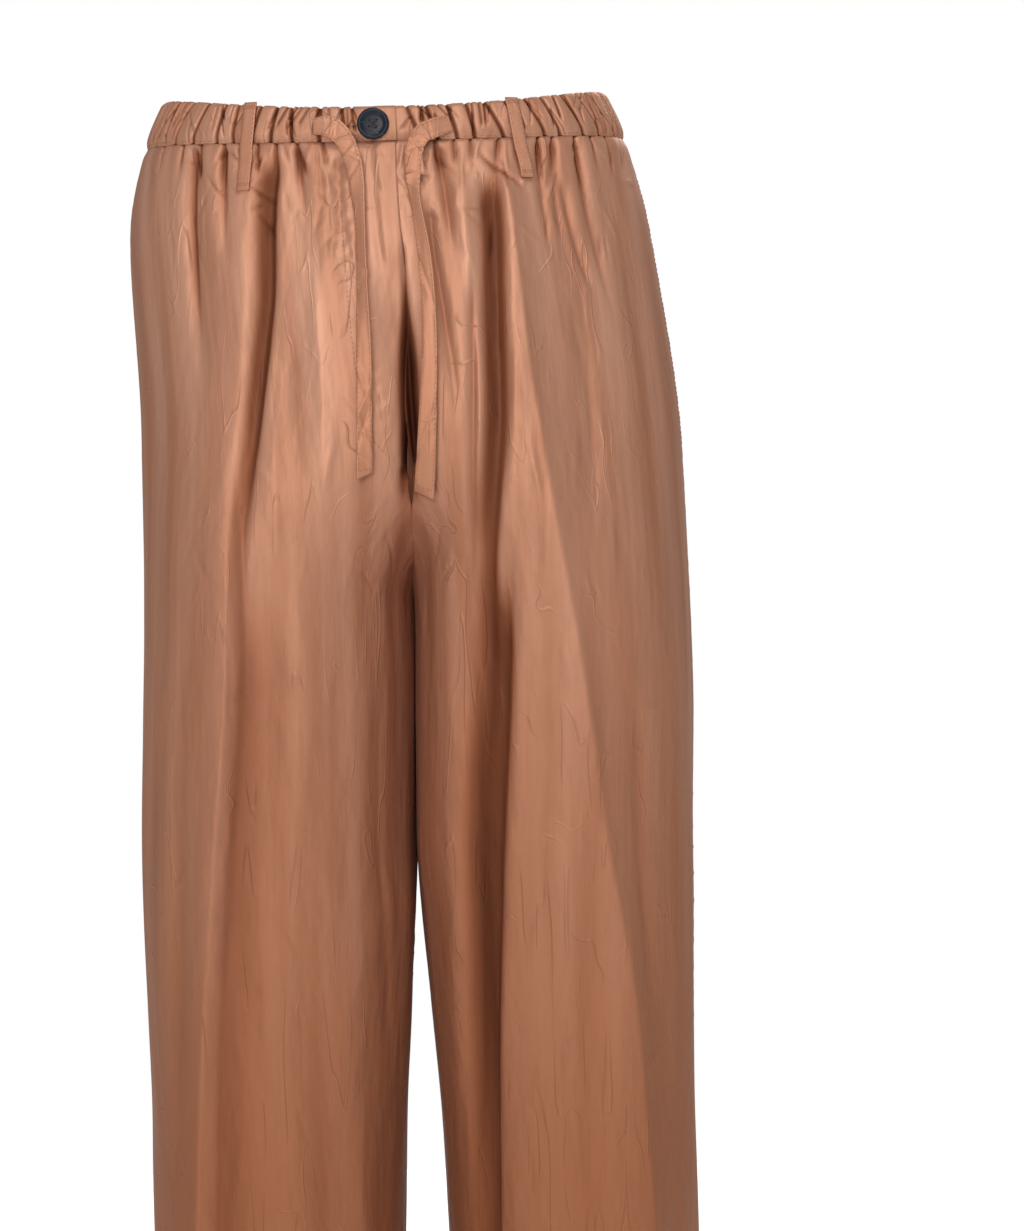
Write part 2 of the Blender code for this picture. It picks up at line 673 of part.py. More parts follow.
TIE_RIGHT_ROUTE = (
    Tie(-37.0, -24.0, 0.6, 9.0, 0.0),
    Tie(-29.0, -24.5, 2.2, 12.0, 0.0),
    Tie(-21.5, -30.5, 3.2, 11.0, 6.0),
    Tie(-16.5, -42.0, 2.6, 10.5, 10.0),
    Tie(-13.5, -58.0, 2.0, 9.5, 20.0),
    Tie(-11.6, -80.0, 2.4, 7.0, 42.0),
    Tie(-11.4, -105.0, 2.6, 6.6, 38.0),
    Tie(-11.8, -150.0, 3.0, 8.6, 8.0),
    Tie(-12.8, -190.0, 3.4, 8.8, -4.0),
    Tie(-13.4, -221.0, 4.0, 9.4, -6.0),
)
TIE_LEFT_ROUTE = (
    Tie(38.0, -24.0, 0.6, 9.0, 0.0),
    Tie(30.0, -26.5, 2.2, 11.0, 0.0),
    Tie(22.0, -31.0, 3.2, 10.5, 4.0),
    Tie(18.0, -41.0, 2.6, 10.0, 8.0),
    Tie(17.6, -54.0, 2.0, 9.0, 14.0),
    Tie(19.4, -68.0, 2.2, 6.6, 40.0),
    Tie(23.6, -100.0, 2.4, 7.6, 24.0),
    Tie(25.0, -140.0, 3.0, 8.2, 10.0),
    Tie(22.8, -190.0, 3.4, 10.2, 2.0),
    Tie(20.4, -232.0, 4.0, 12.0, -4.0),
)
TIE_STEPS = 30


def tie_stations(route: tuple) -> list:
    """Centre, sideways and outward directions, and width along a tie."""
    keys = np.arange(len(route), dtype=float)
    t = np.linspace(0.0, len(route) - 1.0, TIE_STEPS + 1)

    def column(name):
        values = np.array([getattr(point, name) for point in route])
        place = np.clip(t.astype(int), 0, len(route) - 2)
        near = np.clip(np.stack([place - 1, place, place + 1, place + 2]), 0, len(route) - 1)
        a, b, c, d = values[near]
        s = t - keys[place]
        return 0.5 * (2 * b + (c - a) * s + (2 * a - 5 * b + 4 * c - d) * s ** 2
                      + (3 * b - a - 3 * c + d) * s ** 3)

    xs, zs, clears = column("x"), column("z"), column("clear")
    widths, turns = column("width"), column("turn")
    centres = []
    outs = []
    for x, z, clear in zip(xs, zs, clears):
        base, out, height = outer_skin(x, z, FRONT, 5.0)
        centres.append(base + out * (height + clear))
        outs.append(out)
    depths = np.array([centre.y for centre in centres])
    for _ in range(3):
        depths[1:-1] = np.minimum(depths[1:-1], (depths[:-2] + depths[1:-1] + depths[2:]) / 3.0)
    for centre, depth in zip(centres, depths):
        centre.y = depth
    stations = []
    for index, (centre, out) in enumerate(zip(centres, outs)):
        after = centres[min(index + 1, TIE_STEPS)]
        before = centres[max(index - 1, 0)]
        forward = (after - before).normalized()
        across = out.cross(forward).normalized()
        outward = forward.cross(across).normalized()
        angle = math.radians(turns[index])
        wide = across * math.cos(angle) + outward * math.sin(angle)
        thick = outward * math.cos(angle) - across * math.sin(angle)
        stations.append((centre, wide, thick, float(widths[index])))
    return stations


def build_tie(name: str, route: tuple, slant: float, material):
    """A flat sewn tie: a thin strip that follows its route."""
    stations = tie_stations(route)

    def place(row, shares, is_inner):
        centre, wide, thick, width = stations[row]
        side = 0.0 if is_inner else TIE_CLOTH
        drop = Vector((0.0, 0.0, slant if row == TIE_STEPS else 0.0))
        lift = math.sin(math.radians(40.0)) * 0.5 * width * 0.35
        points = []
        for share in shares:
            point = centre + wide * ((share - 0.5) * width) + thick * (side + lift)
            points.append((point + drop * (share - 0.5)) * MM)
        return points

    return cloth_wall(name, 2, TIE_STEPS, 0, place, material)


def build_button(material):
    """A four-hole button with a rolled rim, its face towards the front."""
    profile = (
        (0.0, 0.0), (6.6, 0.0), (8.4, 0.7), (BUTTON_RADIUS, 1.7), (8.6, 2.8),
        (7.6, BUTTON_HEIGHT), (6.6, 2.7), (5.6, 2.2), (0.0, 2.0),
    )
    bm = bmesh.new()
    verts = [bm.verts.new((radius, 0.0, height)) for radius, height in profile]
    edges = [bm.edges.new(pair) for pair in zip(verts[:-1], verts[1:])]
    bmesh.ops.spin(
        bm, geom=verts + edges, cent=(0.0, 0.0, 0.0), axis=(0.0, 0.0, 1.0),
        angle=2.0 * math.pi, steps=32, use_merge=True, use_duplicate=False,
    )
    bmesh.ops.remove_doubles(bm, verts=bm.verts, dist=0.0001)
    bmesh.ops.recalc_face_normals(bm, faces=bm.faces)
    for vert in bm.verts:
        vert.co *= MM
    button = add_object("button", bm, material)
    centre = Vector((BUTTON_X, 0.0, BUTTON_Z))
    high = 0.0
    for step_x in (-9.0, -6.0, -3.0, 0.0, 3.0, 6.0, 9.0):
        for step_z in (-8.0, -4.0, 0.0, 4.0, 8.0):
            base, out, height = skin(centre.x + step_x, centre.z + step_z, FRONT)
            high = min(high, base.y + out.y * height)
    button.location = (centre.x * MM, (high - 0.4) * MM, centre.z * MM)
    button.rotation_euler = (math.pi / 2, 0.0, math.radians(3.0))
    for index in range(4):
        turn = math.radians(45.0 + 90.0 * index)
        cutter_bm = bmesh.new()
        bmesh.ops.create_cone(
            cutter_bm, cap_ends=True, segments=12, radius1=BUTTON_HOLE_RADIUS * MM,
            radius2=BUTTON_HOLE_RADIUS * MM, depth=4.0 * BUTTON_HEIGHT * MM,
        )
        cutter = add_object(f"button_hole_cutter_{index}", cutter_bm, material)
        reach = BUTTON_HOLE_PITCH * math.sqrt(2.0) * MM
        cutter.location = (reach * math.cos(turn), reach * math.sin(turn), 0.0)
        cutter.parent = button
        cutter.hide_render = True
        cutter.display_type = "WIRE"
        cut = button.modifiers.new(f"hole_{index}", "BOOLEAN")
        cut.operation = "DIFFERENCE"
        cut.solver = "EXACT"
        cut.object = cutter
    return button


def main() -> None:
    """Build every piece of the trousers."""
    for old in list(bpy.data.objects):
        bpy.data.objects.remove(old, do_unlink=True)
    satin = finish_material("satin", (0.50, 0.24, 0.15), 0.42)
    tie_satin = finish_material("tie_satin", (0.52, 0.26, 0.17), 0.42)
    lining = finish_material("pocket_satin", (0.46, 0.22, 0.14), 0.5)
    button_resin = finish_material("button_resin", (0.012, 0.014, 0.022), 0.25)
    for label, side in (("left", LEFT), ("right", RIGHT)):
        build_panel(f"front_{label}", side, FRONT, satin)
        build_panel(f"back_{label}", side, BACK, satin)
        build_band(f"waistband_{label}", side, satin)
        build_pocket(f"pocket_{label}", side, lining)
    for strap in STRAPS:
        build_strap(strap, satin)
    build_tie("tie_left", TIE_LEFT_ROUTE, -2.0, tie_satin)
    build_tie("tie_right", TIE_RIGHT_ROUTE, 4.0, tie_satin)
    build_button(button_resin)


main()
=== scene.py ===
"""Drawstring trousers in copper satin, filled out as worn, in a plain pale studio."""

import logging
import math
import random
from dataclasses import dataclass, field
from enum import Enum
from typing import Callable, NamedTuple, Sequence

import bmesh
import bpy
import numpy as np
from mathutils import Matrix, Vector


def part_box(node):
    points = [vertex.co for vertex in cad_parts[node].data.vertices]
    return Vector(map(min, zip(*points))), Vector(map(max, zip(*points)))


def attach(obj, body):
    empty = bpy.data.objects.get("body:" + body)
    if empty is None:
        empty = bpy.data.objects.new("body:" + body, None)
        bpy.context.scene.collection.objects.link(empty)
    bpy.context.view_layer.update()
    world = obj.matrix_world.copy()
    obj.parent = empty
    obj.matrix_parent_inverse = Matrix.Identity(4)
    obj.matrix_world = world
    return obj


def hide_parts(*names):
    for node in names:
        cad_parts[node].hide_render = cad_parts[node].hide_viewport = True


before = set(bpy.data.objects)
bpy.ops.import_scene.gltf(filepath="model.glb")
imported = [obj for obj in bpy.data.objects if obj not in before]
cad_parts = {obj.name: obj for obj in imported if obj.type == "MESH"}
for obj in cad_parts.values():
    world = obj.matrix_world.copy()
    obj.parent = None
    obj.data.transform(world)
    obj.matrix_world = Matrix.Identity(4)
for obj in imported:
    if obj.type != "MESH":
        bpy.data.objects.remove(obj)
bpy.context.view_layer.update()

MM = 0.001
FAR_INSIDE = -1000.0  # centre edge of a whole tube
THREAD_LIFT = 0.05  # stitches stand this far off the cloth
TIE_CLOTH_WIDTH = 9.0
WHITE = (1.0, 1.0, 1.0, 1.0)
LOG = logging.getLogger("trousers")


class Half(Enum):
    """The wearer's left (+X) or right (-X) half."""

    LEFT = 1.0
    RIGHT = -1.0


class Face(Enum):
    """Front (-Y) or back (+Y) of a half."""

    FRONT = -1.0
    BACK = 1.0


class Level(NamedTuple):
    """One horizontal section of the wearer's left half, in millimetres."""

    z: float
    side: float
    front: float
    back: float
    inner: float
    power: float


class Drift(NamedTuple):
    """Sideways hang of the garment and the depth of its widest line, in millimetres."""

    z: float
    lean: float
    side_y: float


class Fold(NamedTuple):
    """One long fold: (z, x) knots from the top down, height out (+) or in (-), flanks and fades."""

    path: tuple
    rise: float
    flank_in: float
    flank_out: float
    fade_top: float
    fade_low: float
    point: float = 1.6


class Gather(NamedTuple):
    """One groove that the elastic draws in the band, and its run into the cloth below."""

    x_top: float
    x_seam: float
    x_low: float
    reach: float
    depth: float
    flank: float


class Tuck(NamedTuple):
    """One short slanting crease in the band: x and share of the height at its two ends."""

    x_from: float
    x_to: float
    share_from: float
    share_to: float
    depth: float
    flank: float


class Crease(NamedTuple):
    """One short press crease: its middle, length, degrees from upright, height and width."""

    x: float
    z: float
    length: float
    turn: float
    height: float
    width: float


class Section(NamedTuple):
    """A panel's outline at one height: angle, x, y, cloth length and outward direction."""

    theta: np.ndarray
    x: np.ndarray
    y: np.ndarray
    arc: np.ndarray
    out_x: np.ndarray
    out_y: np.ndarray


class Row(NamedTuple):
    """Points of one row: heights, cloth lengths, own x, the band's edges there, and the outline."""

    z: np.ndarray
    arc: np.ndarray
    x: np.ndarray
    top: np.ndarray
    low: np.ndarray
    cut: Section


LEVELS = (
    Level(8.0, 126.0, -90.0, 88.0, -126.0, 2.10),
    Level(-2.0, 129.0, -92.0, 91.0, -129.0, 2.10),
    Level(-30.0, 140.0, -98.0, 99.0, -140.0, 2.12),
    Level(-75.0, 150.0, -105.0, 110.0, -150.0, 2.16),
    Level(-130.0, 153.5, -110.0, 120.0, -146.0, 2.20),
    Level(-178.0, 155.5, -112.0, 126.0, -124.0, 2.24),
    Level(-205.0, 156.5, -112.5, 127.5, -91.0, 2.26),
    Level(-225.0, 156.9, -112.1, 127.1, -56.5, 2.28),
    Level(-243.0, 157.2, -111.4, 126.4, -27.0, 2.29),
    Level(-260.0, 157.5, -110.6, 125.2, -10.5, 2.30),
    Level(-274.0, 157.8, -109.9, 123.8, -3.4, 2.34),
    Level(-290.0, 158.2, -109.0, 122.0, 0.25, 2.39),
    Level(-310.0, 158.6, -107.8, 120.0, 0.6, 2.46),
    Level(-360.0, 159.5, -105.0, 115.0, 0.7, 2.58),
    Level(-447.0, 159.5, -100.0, 108.0, 1.2, 2.60),
    Level(-520.0, 158.0, -96.0, 103.0, 5.5, 2.52),
    Level(-593.0, 156.5, -93.0, 99.0, 10.5, 2.42),
    Level(-750.0, 156.5, -89.0, 93.0, 15.5, 2.34),
    Level(-900.0, 158.0, -87.0, 90.0, 18.5, 2.30),
    Level(-1020.0, 160.0, -86.0, 88.0, 20.5, 2.30),
)
DRIFTS = (
    Drift(8.0, 0.0, 0.0),
    Drift(-40.0, 0.0, 0.0),
    Drift(-200.0, 11.5, 3.0),
    Drift(-300.0, 12.5, 5.0),
    Drift(-450.0, 9.5, 4.0),
    Drift(-600.0, 10.0, 3.0),
    Drift(-1020.0, 10.0, 2.0),
)
FOLDS = {
    (Half.LEFT, Face.FRONT): (
        Fold(((-36.0, 62.5), (-82.0, 69.0), (-157.0, 69.0), (-207.0, 74.0), (-278.0, 85.5),
              (-341.0, 95.0), (-413.0, 105.0), (-544.0, 120.5), (-1040.0, 136.0)),
             9.4, 30.0, 13.0, 30.0, 20.0, 1.05),
        Fold(((-40.0, 61.0), (-82.0, 60.5), (-136.0, 55.6), (-206.0, 50.6), (-250.0, 45.3),
              (-298.0, 41.5), (-350.0, 39.5)), -7.6, 8.8, 4.2, 34.0, 160.0, 2.5),
        Fold(((-200.0, 50.6), (-298.0, 42.5), (-420.0, 37.0), (-600.0, 35.0)),
             -2.2, 11.0, 5.0, 90.0, 160.0, 1.8),
        Fold(((-100.0, 45.0), (-191.0, 37.0), (-234.0, 35.0), (-310.0, 30.0)),
             -3.2, 3.2, 3.4, 30.0, 80.0),
        Fold(((-262.0, 54.0), (-343.0, 52.0), (-394.0, 50.0), (-461.0, 46.4), (-573.0, 40.5),
              (-1040.0, 34.0)), -7.4, 20.0, 3.0, 60.0, 160.0, 1.7),
        Fold(((-120.0, 96.5), (-166.0, 102.0), (-204.0, 103.5), (-262.0, 103.0)),
             -1.7, 4.0, 5.5, 30.0, 60.0),
        Fold(((-30.0, 31.8), (-67.0, 34.5), (-105.0, 36.0)), -3.4, 2.6, 2.6, 8.0, 40.0),
        Fold(((-60.0, 24.5), (-130.0, 26.5), (-200.0, 29.0)), -3.4, 4.0, 3.0, 20.0, 70.0),
        Fold(((-45.0, 43.5), (-170.0, 41.0), (-300.0, 31.0)), 2.2, 5.5, 5.0, 25.0, 120.0),
        Fold(((-330.0, 33.5), (-445.0, 32.0), (-640.0, 28.0)), -2.4, 6.0, 5.0, 60.0, 90.0),
        Fold(((-215.0, 25.0), (-390.0, 21.0), (-620.0, 22.0)), 2.4, 8.0, 8.0, 80.0, 120.0),
        Fold(((-28.0, 88.7), (-70.0, 89.0), (-110.0, 91.0)), -2.8, 3.2, 3.2, 8.0, 50.0),
        Fold(((-28.0, 95.6), (-74.0, 97.0), (-120.0, 100.0)), -2.6, 3.4, 3.4, 8.0, 60.0),
        Fold(((-28.0, 110.0), (-90.0, 116.0), (-150.0, 124.0)), -3.4, 4.2, 4.2, 8.0, 70.0),
        Fold(((-52.0, 100.0), (-90.0, 105.0), (-122.0, 112.0)), -2.4, 2.4, 3.0, 14.0, 18.0),
        Fold(((-300.0, 112.0), (-500.0, 98.0), (-1040.0, 84.0)), -2.0, 14.0, 16.0, 120.0, 200.0),
        Fold(((-330.0, 124.0), (-420.0, 126.0), (-540.0, 131.0)), -2.2, 5.0, 7.0, 50.0, 80.0),
    ),
    (Half.RIGHT, Face.FRONT): (
        Fold(((-205.0, 98.5), (-266.0, 101.5), (-345.0, 104.5), (-450.0, 111.5), (-569.0, 121.0),
              (-1040.0, 136.0)), 8.6, 9.0, 26.0, 70.0, 20.0, 1.05),
        Fold(((-34.0, 60.0), (-72.0, 65.4), (-115.0, 70.4), (-143.0, 76.3), (-177.0, 83.6),
              (-221.0, 90.9), (-266.0, 96.5), (-345.0, 98.5)), -7.4, 3.8, 8.4, 22.0, 190.0, 2.3),
        Fold(((-235.0, 94.0), (-345.0, 97.0), (-569.0, 113.0), (-1040.0, 127.0)),
             -4.2, 28.0, 4.0, 110.0, 60.0, 1.4),
        Fold(((-26.0, 107.5), (-98.0, 112.0), (-170.0, 115.0)), -5.2, 3.6, 5.0, 8.0, 80.0),
        Fold(((-28.0, 89.6), (-66.0, 91.0), (-105.0, 93.0)), -3.2, 3.4, 3.4, 8.0, 45.0),
        Fold(((-30.0, 47.9), (-58.0, 46.0), (-85.0, 44.0)), -3.2, 2.6, 2.6, 6.0, 35.0),
        Fold(((-34.0, 24.9), (-72.0, 25.5), (-110.0, 27.0)), -2.8, 3.2, 3.2, 10.0, 45.0),
        Fold(((-84.0, 42.0), (-170.0, 46.0), (-290.0, 52.0)), 3.0, 8.0, 12.0, 50.0, 110.0, 1.3),
        Fold(((-96.0, 4.5), (-135.0, 4.2), (-172.0, 4.5)), -1.8, 1.8, 2.6, 20.0, 20.0),
        Fold(((-70.0, 18.0), (-120.0, 20.0), (-190.0, 19.0)), 1.8, 4.0, 7.0, 30.0, 60.0, 1.2),
        Fold(((-230.0, 62.0), (-375.0, 65.0), (-520.0, 66.0)), 2.6, 14.0, 14.0, 110.0, 150.0),
        Fold(((-420.0, 58.0), (-730.0, 52.0), (-1040.0, 50.0)), -2.2, 12.0, 14.0, 140.0, 200.0),
        Fold(((-300.0, 14.0), (-420.0, 17.0), (-600.0, 16.0)), -1.8, 5.0, 7.0, 70.0, 120.0),
        Fold(((-560.0, 36.0), (-800.0, 32.0), (-1040.0, 34.0)), 2.4, 9.0, 12.0, 140.0, 60.0),
        Fold(((-250.0, 128.0), (-475.0, 132.0), (-700.0, 138.0)), -2.0, 9.0, 9.0, 120.0, 160.0),
    ),
    (Half.LEFT, Face.BACK): (
        Fold(((-60.0, 62.0), (-550.0, 88.0), (-1040.0, 96.0)), 5.0, 20.0, 20.0, 90.0, 20.0, 1.1),
        Fold(((-26.0, 40.0), (-160.0, 43.0), (-300.0, 50.0)), -5.6, 8.0, 4.5, 20.0, 150.0, 1.8),
        Fold(((-26.0, 80.0), (-120.0, 84.0), (-220.0, 88.0)), -5.0, 7.0, 4.0, 20.0, 110.0, 1.8),
        Fold(((-26.0, 108.0), (-100.0, 113.0), (-170.0, 118.0)), -3.8, 5.0, 5.0, 20.0, 80.0),
        Fold(((-26.0, 20.0), (-80.0, 22.0), (-140.0, 25.0)), -3.0, 4.0, 4.0, 12.0, 70.0),
        Fold(((-250.0, 44.0), (-430.0, 40.0), (-620.0, 38.0)), -3.4, 12.0, 5.0, 120.0, 180.0),
        Fold(((-330.0, 118.0), (-680.0, 122.0), (-1040.0, 126.0)), -2.6, 12.0, 12.0, 150.0, 200.0),
        Fold(((-560.0, 52.0), (-800.0, 56.0), (-1040.0, 58.0)), 2.4, 12.0, 12.0, 160.0, 60.0),
    ),
    (Half.RIGHT, Face.BACK): (
        Fold(((-60.0, 64.0), (-550.0, 86.0), (-1040.0, 94.0)), 4.8, 20.0, 20.0, 90.0, 20.0, 1.1),
        Fold(((-26.0, 34.0), (-150.0, 37.0), (-270.0, 43.0)), -5.2, 7.5, 4.5, 20.0, 130.0, 1.8),
        Fold(((-26.0, 73.0), (-140.0, 78.0), (-250.0, 83.0)), -5.2, 7.5, 4.5, 20.0, 120.0, 1.8),
        Fold(((-26.0, 102.0), (-90.0, 107.0), (-160.0, 112.0)), -3.6, 5.0, 5.0, 20.0, 80.0),
        Fold(((-280.0, 48.0), (-470.0, 43.0), (-660.0, 40.0)), -3.4, 12.0, 6.0, 130.0, 190.0),
        Fold(((-360.0, 121.0), (-700.0, 124.0), (-1040.0, 127.0)), -2.4, 12.0, 12.0, 160.0, 200.0),
        Fold(((-600.0, 56.0), (-820.0, 60.0), (-1040.0, 62.0)), 2.2, 12.0, 12.0, 160.0, 60.0),
    ),
}
FRONT_GATHERS = {
    Half.LEFT: (
        Gather(14.2, 20.7, 22.0, 16.0, 2.2, 2.8),
        Gather(25.0, 30.0, 32.0, 26.0, 2.6, 2.8),
        Gather(37.0, 40.5, 42.0, 22.0, 2.4, 2.8),
        Gather(48.0, 50.0, 50.5, 24.0, 2.6, 2.8),
        Gather(59.0, 66.0, 62.0, 26.0, 2.6, 3.2),
        Gather(71.0, 76.0, 78.0, 22.0, 2.2, 2.8),
        Gather(82.2, 88.7, 89.0, 30.0, 2.8, 2.8),
        Gather(91.9, 97.0, 98.5, 30.0, 2.6, 2.8),
        Gather(104.7, 110.0, 115.0, 38.0, 3.0, 3.0),
        Gather(113.8, 119.5, 124.0, 26.0, 2.2, 3.0),
        Gather(121.0, 128.5, 133.0, 22.0, 2.0, 3.0),
    ),
    Half.RIGHT: (
        Gather(22.3, 18.5, 15.0, 24.0, 2.2, 2.8),
        Gather(34.0, 33.0, 30.0, 22.0, 2.4, 2.8),
        Gather(50.9, 47.9, 45.5, 28.0, 2.8, 2.8),
        Gather(59.0, 60.0, 60.0, 30.0, 2.8, 3.0),
        Gather(68.5, 70.5, 71.0, 24.0, 2.6, 2.8),
        Gather(81.9, 80.5, 81.0, 20.0, 2.6, 2.8),
        Gather(89.6, 90.0, 91.5, 36.0, 2.6, 2.8),
        Gather(100.5, 104.0, 106.0, 30.0, 2.8, 3.0),
        Gather(111.0, 115.0, 118.0, 26.0, 2.4, 3.0),
        Gather(120.5, 127.0, 130.0, 22.0, 2.0, 3.0),
    ),
}
CREASES = {
    (Half.LEFT, Face.FRONT): (
        Crease(68.5, -53.0, 42.0, 133.0, -1.9, 1.4),
        Crease(69.5, -222.0, 58.0, 176.0, 1.0, 1.5),
        Crease(101.0, -288.0, 18.0, 176.0, -0.9, 1.1),
        Crease(97.5, -284.0, 22.0, 178.0, 0.8, 1.1),
        Crease(130.0, -357.0, 60.0, 83.0, 0.9, 1.5),
        Crease(128.0, -554.0, 34.0, 60.0, 0.8, 1.5),
        Crease(118.0, -571.0, 26.0, 118.0, -0.7, 1.4),
        Crease(14.0, -262.0, 28.0, 28.0, -1.0, 1.6),
        Crease(22.0, -276.0, 26.0, 52.0, -0.9, 1.5),
        Crease(9.0, -300.0, 30.0, 12.0, -1.1, 1.6),
        Crease(140.0, -54.0, 26.0, 96.0, 0.9, 1.2),
        Crease(58.0, -92.0, 30.0, 18.0, -0.9, 1.6),
        Crease(93.0, -210.0, 48.0, 8.0, 0.8, 2.0),
        Crease(112.0, -262.0, 60.0, 6.0, 0.7, 2.2),
        Crease(34.0, -330.0, 70.0, 2.0, 0.7, 1.8),
    ),
    (Half.RIGHT, Face.FRONT): (
        Crease(-1.3, -42.0, 18.0, 46.0, -0.8, 1.2),
        Crease(2.0, -60.0, 22.0, 30.0, -0.7, 1.2),
        Crease(63.0, -465.0, 24.0, 80.0, 0.7, 1.2),
        Crease(57.0, -479.0, 28.0, 118.0, 0.7, 1.2),
        Crease(71.0, -482.0, 22.0, 40.0, -0.7, 1.2),
        Crease(49.0, -470.0, 26.0, 100.0, 0.6, 1.2),
        Crease(12.0, -266.0, 30.0, 30.0, -1.0, 1.6),
        Crease(24.0, -280.0, 26.0, 56.0, -0.8, 1.5),
        Crease(9.0, -305.0, 28.0, 8.0, -0.9, 1.6),
        Crease(45.0, -215.0, 60.0, 172.0, 0.7, 2.0),
        Crease(30.0, -330.0, 52.0, 164.0, 0.6, 1.8),
        Crease(104.0, -610.0, 60.0, 174.0, 0.7, 2.0),
    ),
    (Half.LEFT, Face.BACK): (
        Crease(20.0, -285.0, 40.0, 60.0, -1.6, 3.0),
        Crease(34.0, -305.0, 52.0, 68.0, -1.4, 3.0),
        Crease(60.0, -520.0, 60.0, 78.0, 1.0, 2.4),
        Crease(88.0, -545.0, 46.0, 104.0, -1.0, 2.4),
    ),
    (Half.RIGHT, Face.BACK): (
        Crease(18.0, -282.0, 38.0, 58.0, -1.5, 3.0),
        Crease(36.0, -308.0, 50.0, 70.0, -1.5, 3.0),
        Crease(66.0, -530.0, 56.0, 76.0, 1.0, 2.4),
        Crease(84.0, -558.0, 44.0, 100.0, -0.9, 2.4),
    ),
}


def ease(value: np.ndarray | float) -> np.ndarray | float:
    """Smooth step from 0 to 1."""
    t = np.clip(value, 0.0, 1.0)
    return t * t * (3.0 - 2.0 * t)


def bell(offset: np.ndarray, width: np.ndarray | float, power: float = 2) -> np.ndarray:
    """Bump of height 1 at offset 0 that dies away on both sides."""
    return np.exp(-np.abs(offset / width) ** power)


def run_lengths(spots: np.ndarray) -> np.ndarray:
    """Length of a line of points up to each of them."""
    steps = np.linalg.norm(np.diff(spots, axis=0), axis=1)
    return np.concatenate(([0.0], np.cumsum(steps)))


def smooth_curve(knots: np.ndarray, values: np.ndarray, at: np.ndarray | float) -> np.ndarray:
    """Read a curve through knots that never overshoots them.

    Args:
        knots: Places of the knots, rising.
        values: Values at the knots.
        at: Places to read.

    Returns:
        The values there.
    """
    steps = np.diff(knots)
    slopes = np.diff(values) / steps
    tangents = np.zeros_like(values)
    product = slopes[:-1] * slopes[1:]
    total = slopes[:-1] + slopes[1:]
    safe = np.where(np.abs(total) < 1e-9, 1.0, total)
    tangents[1:-1] = np.where(product > 0.0, 2.0 * product / safe, 0.0)
    tangents[0] = slopes[0]
    tangents[-1] = slopes[-1]
    at = np.clip(np.asarray(at, dtype=float), knots[0], knots[-1])
    place = np.clip(np.searchsorted(knots, at, side="right") - 1, 0, len(steps) - 1)
    h = steps[place]
    t = (at - knots[place]) / h
    a = (1 + 2 * t) * (1 - t) ** 2 * values[place]
    b = t * (1 - t) ** 2 * h * tangents[place]
    c = t * t * (3 - 2 * t) * values[place + 1]
    d = t * t * (t - 1) * h * tangents[place + 1]
    return a + b + c + d


def along(rows: Sequence[NamedTuple], column: str, z: np.ndarray | float) -> np.ndarray:
    """Read one column of a table as a smooth curve.

    Args:
        rows: The table, highest row first.
        column: The column's name.
        z: Heights to read it at.

    Returns:
        The column's values at z.
    """
    knots = np.array([row.z for row in rows])[::-1]
    values = np.array([getattr(row, column) for row in rows])[::-1]
    return smooth_curve(knots, values, z)


@dataclass
class Relief:
    """How far the cloth stands from its plain section, and the weighted hollow that sets the
    painted fold shade.
    """

    height: np.ndarray
    fold_shade_depth: np.ndarray

    def add(self, rise: np.ndarray, shade: float = 1.0) -> None:
        """Lay one form on the cloth, with its hollow part counted shade times in the painted fold
        shade.
        """
        self.height = self.height + rise
        self.fold_shade_depth = self.fold_shade_depth + shade * np.minimum(rise, 0.0)

    def fade(self, share: np.ndarray) -> None:
        """Scale all that was laid so far."""
        self.height = self.height * share
        self.fold_shade_depth = self.fold_shade_depth * share


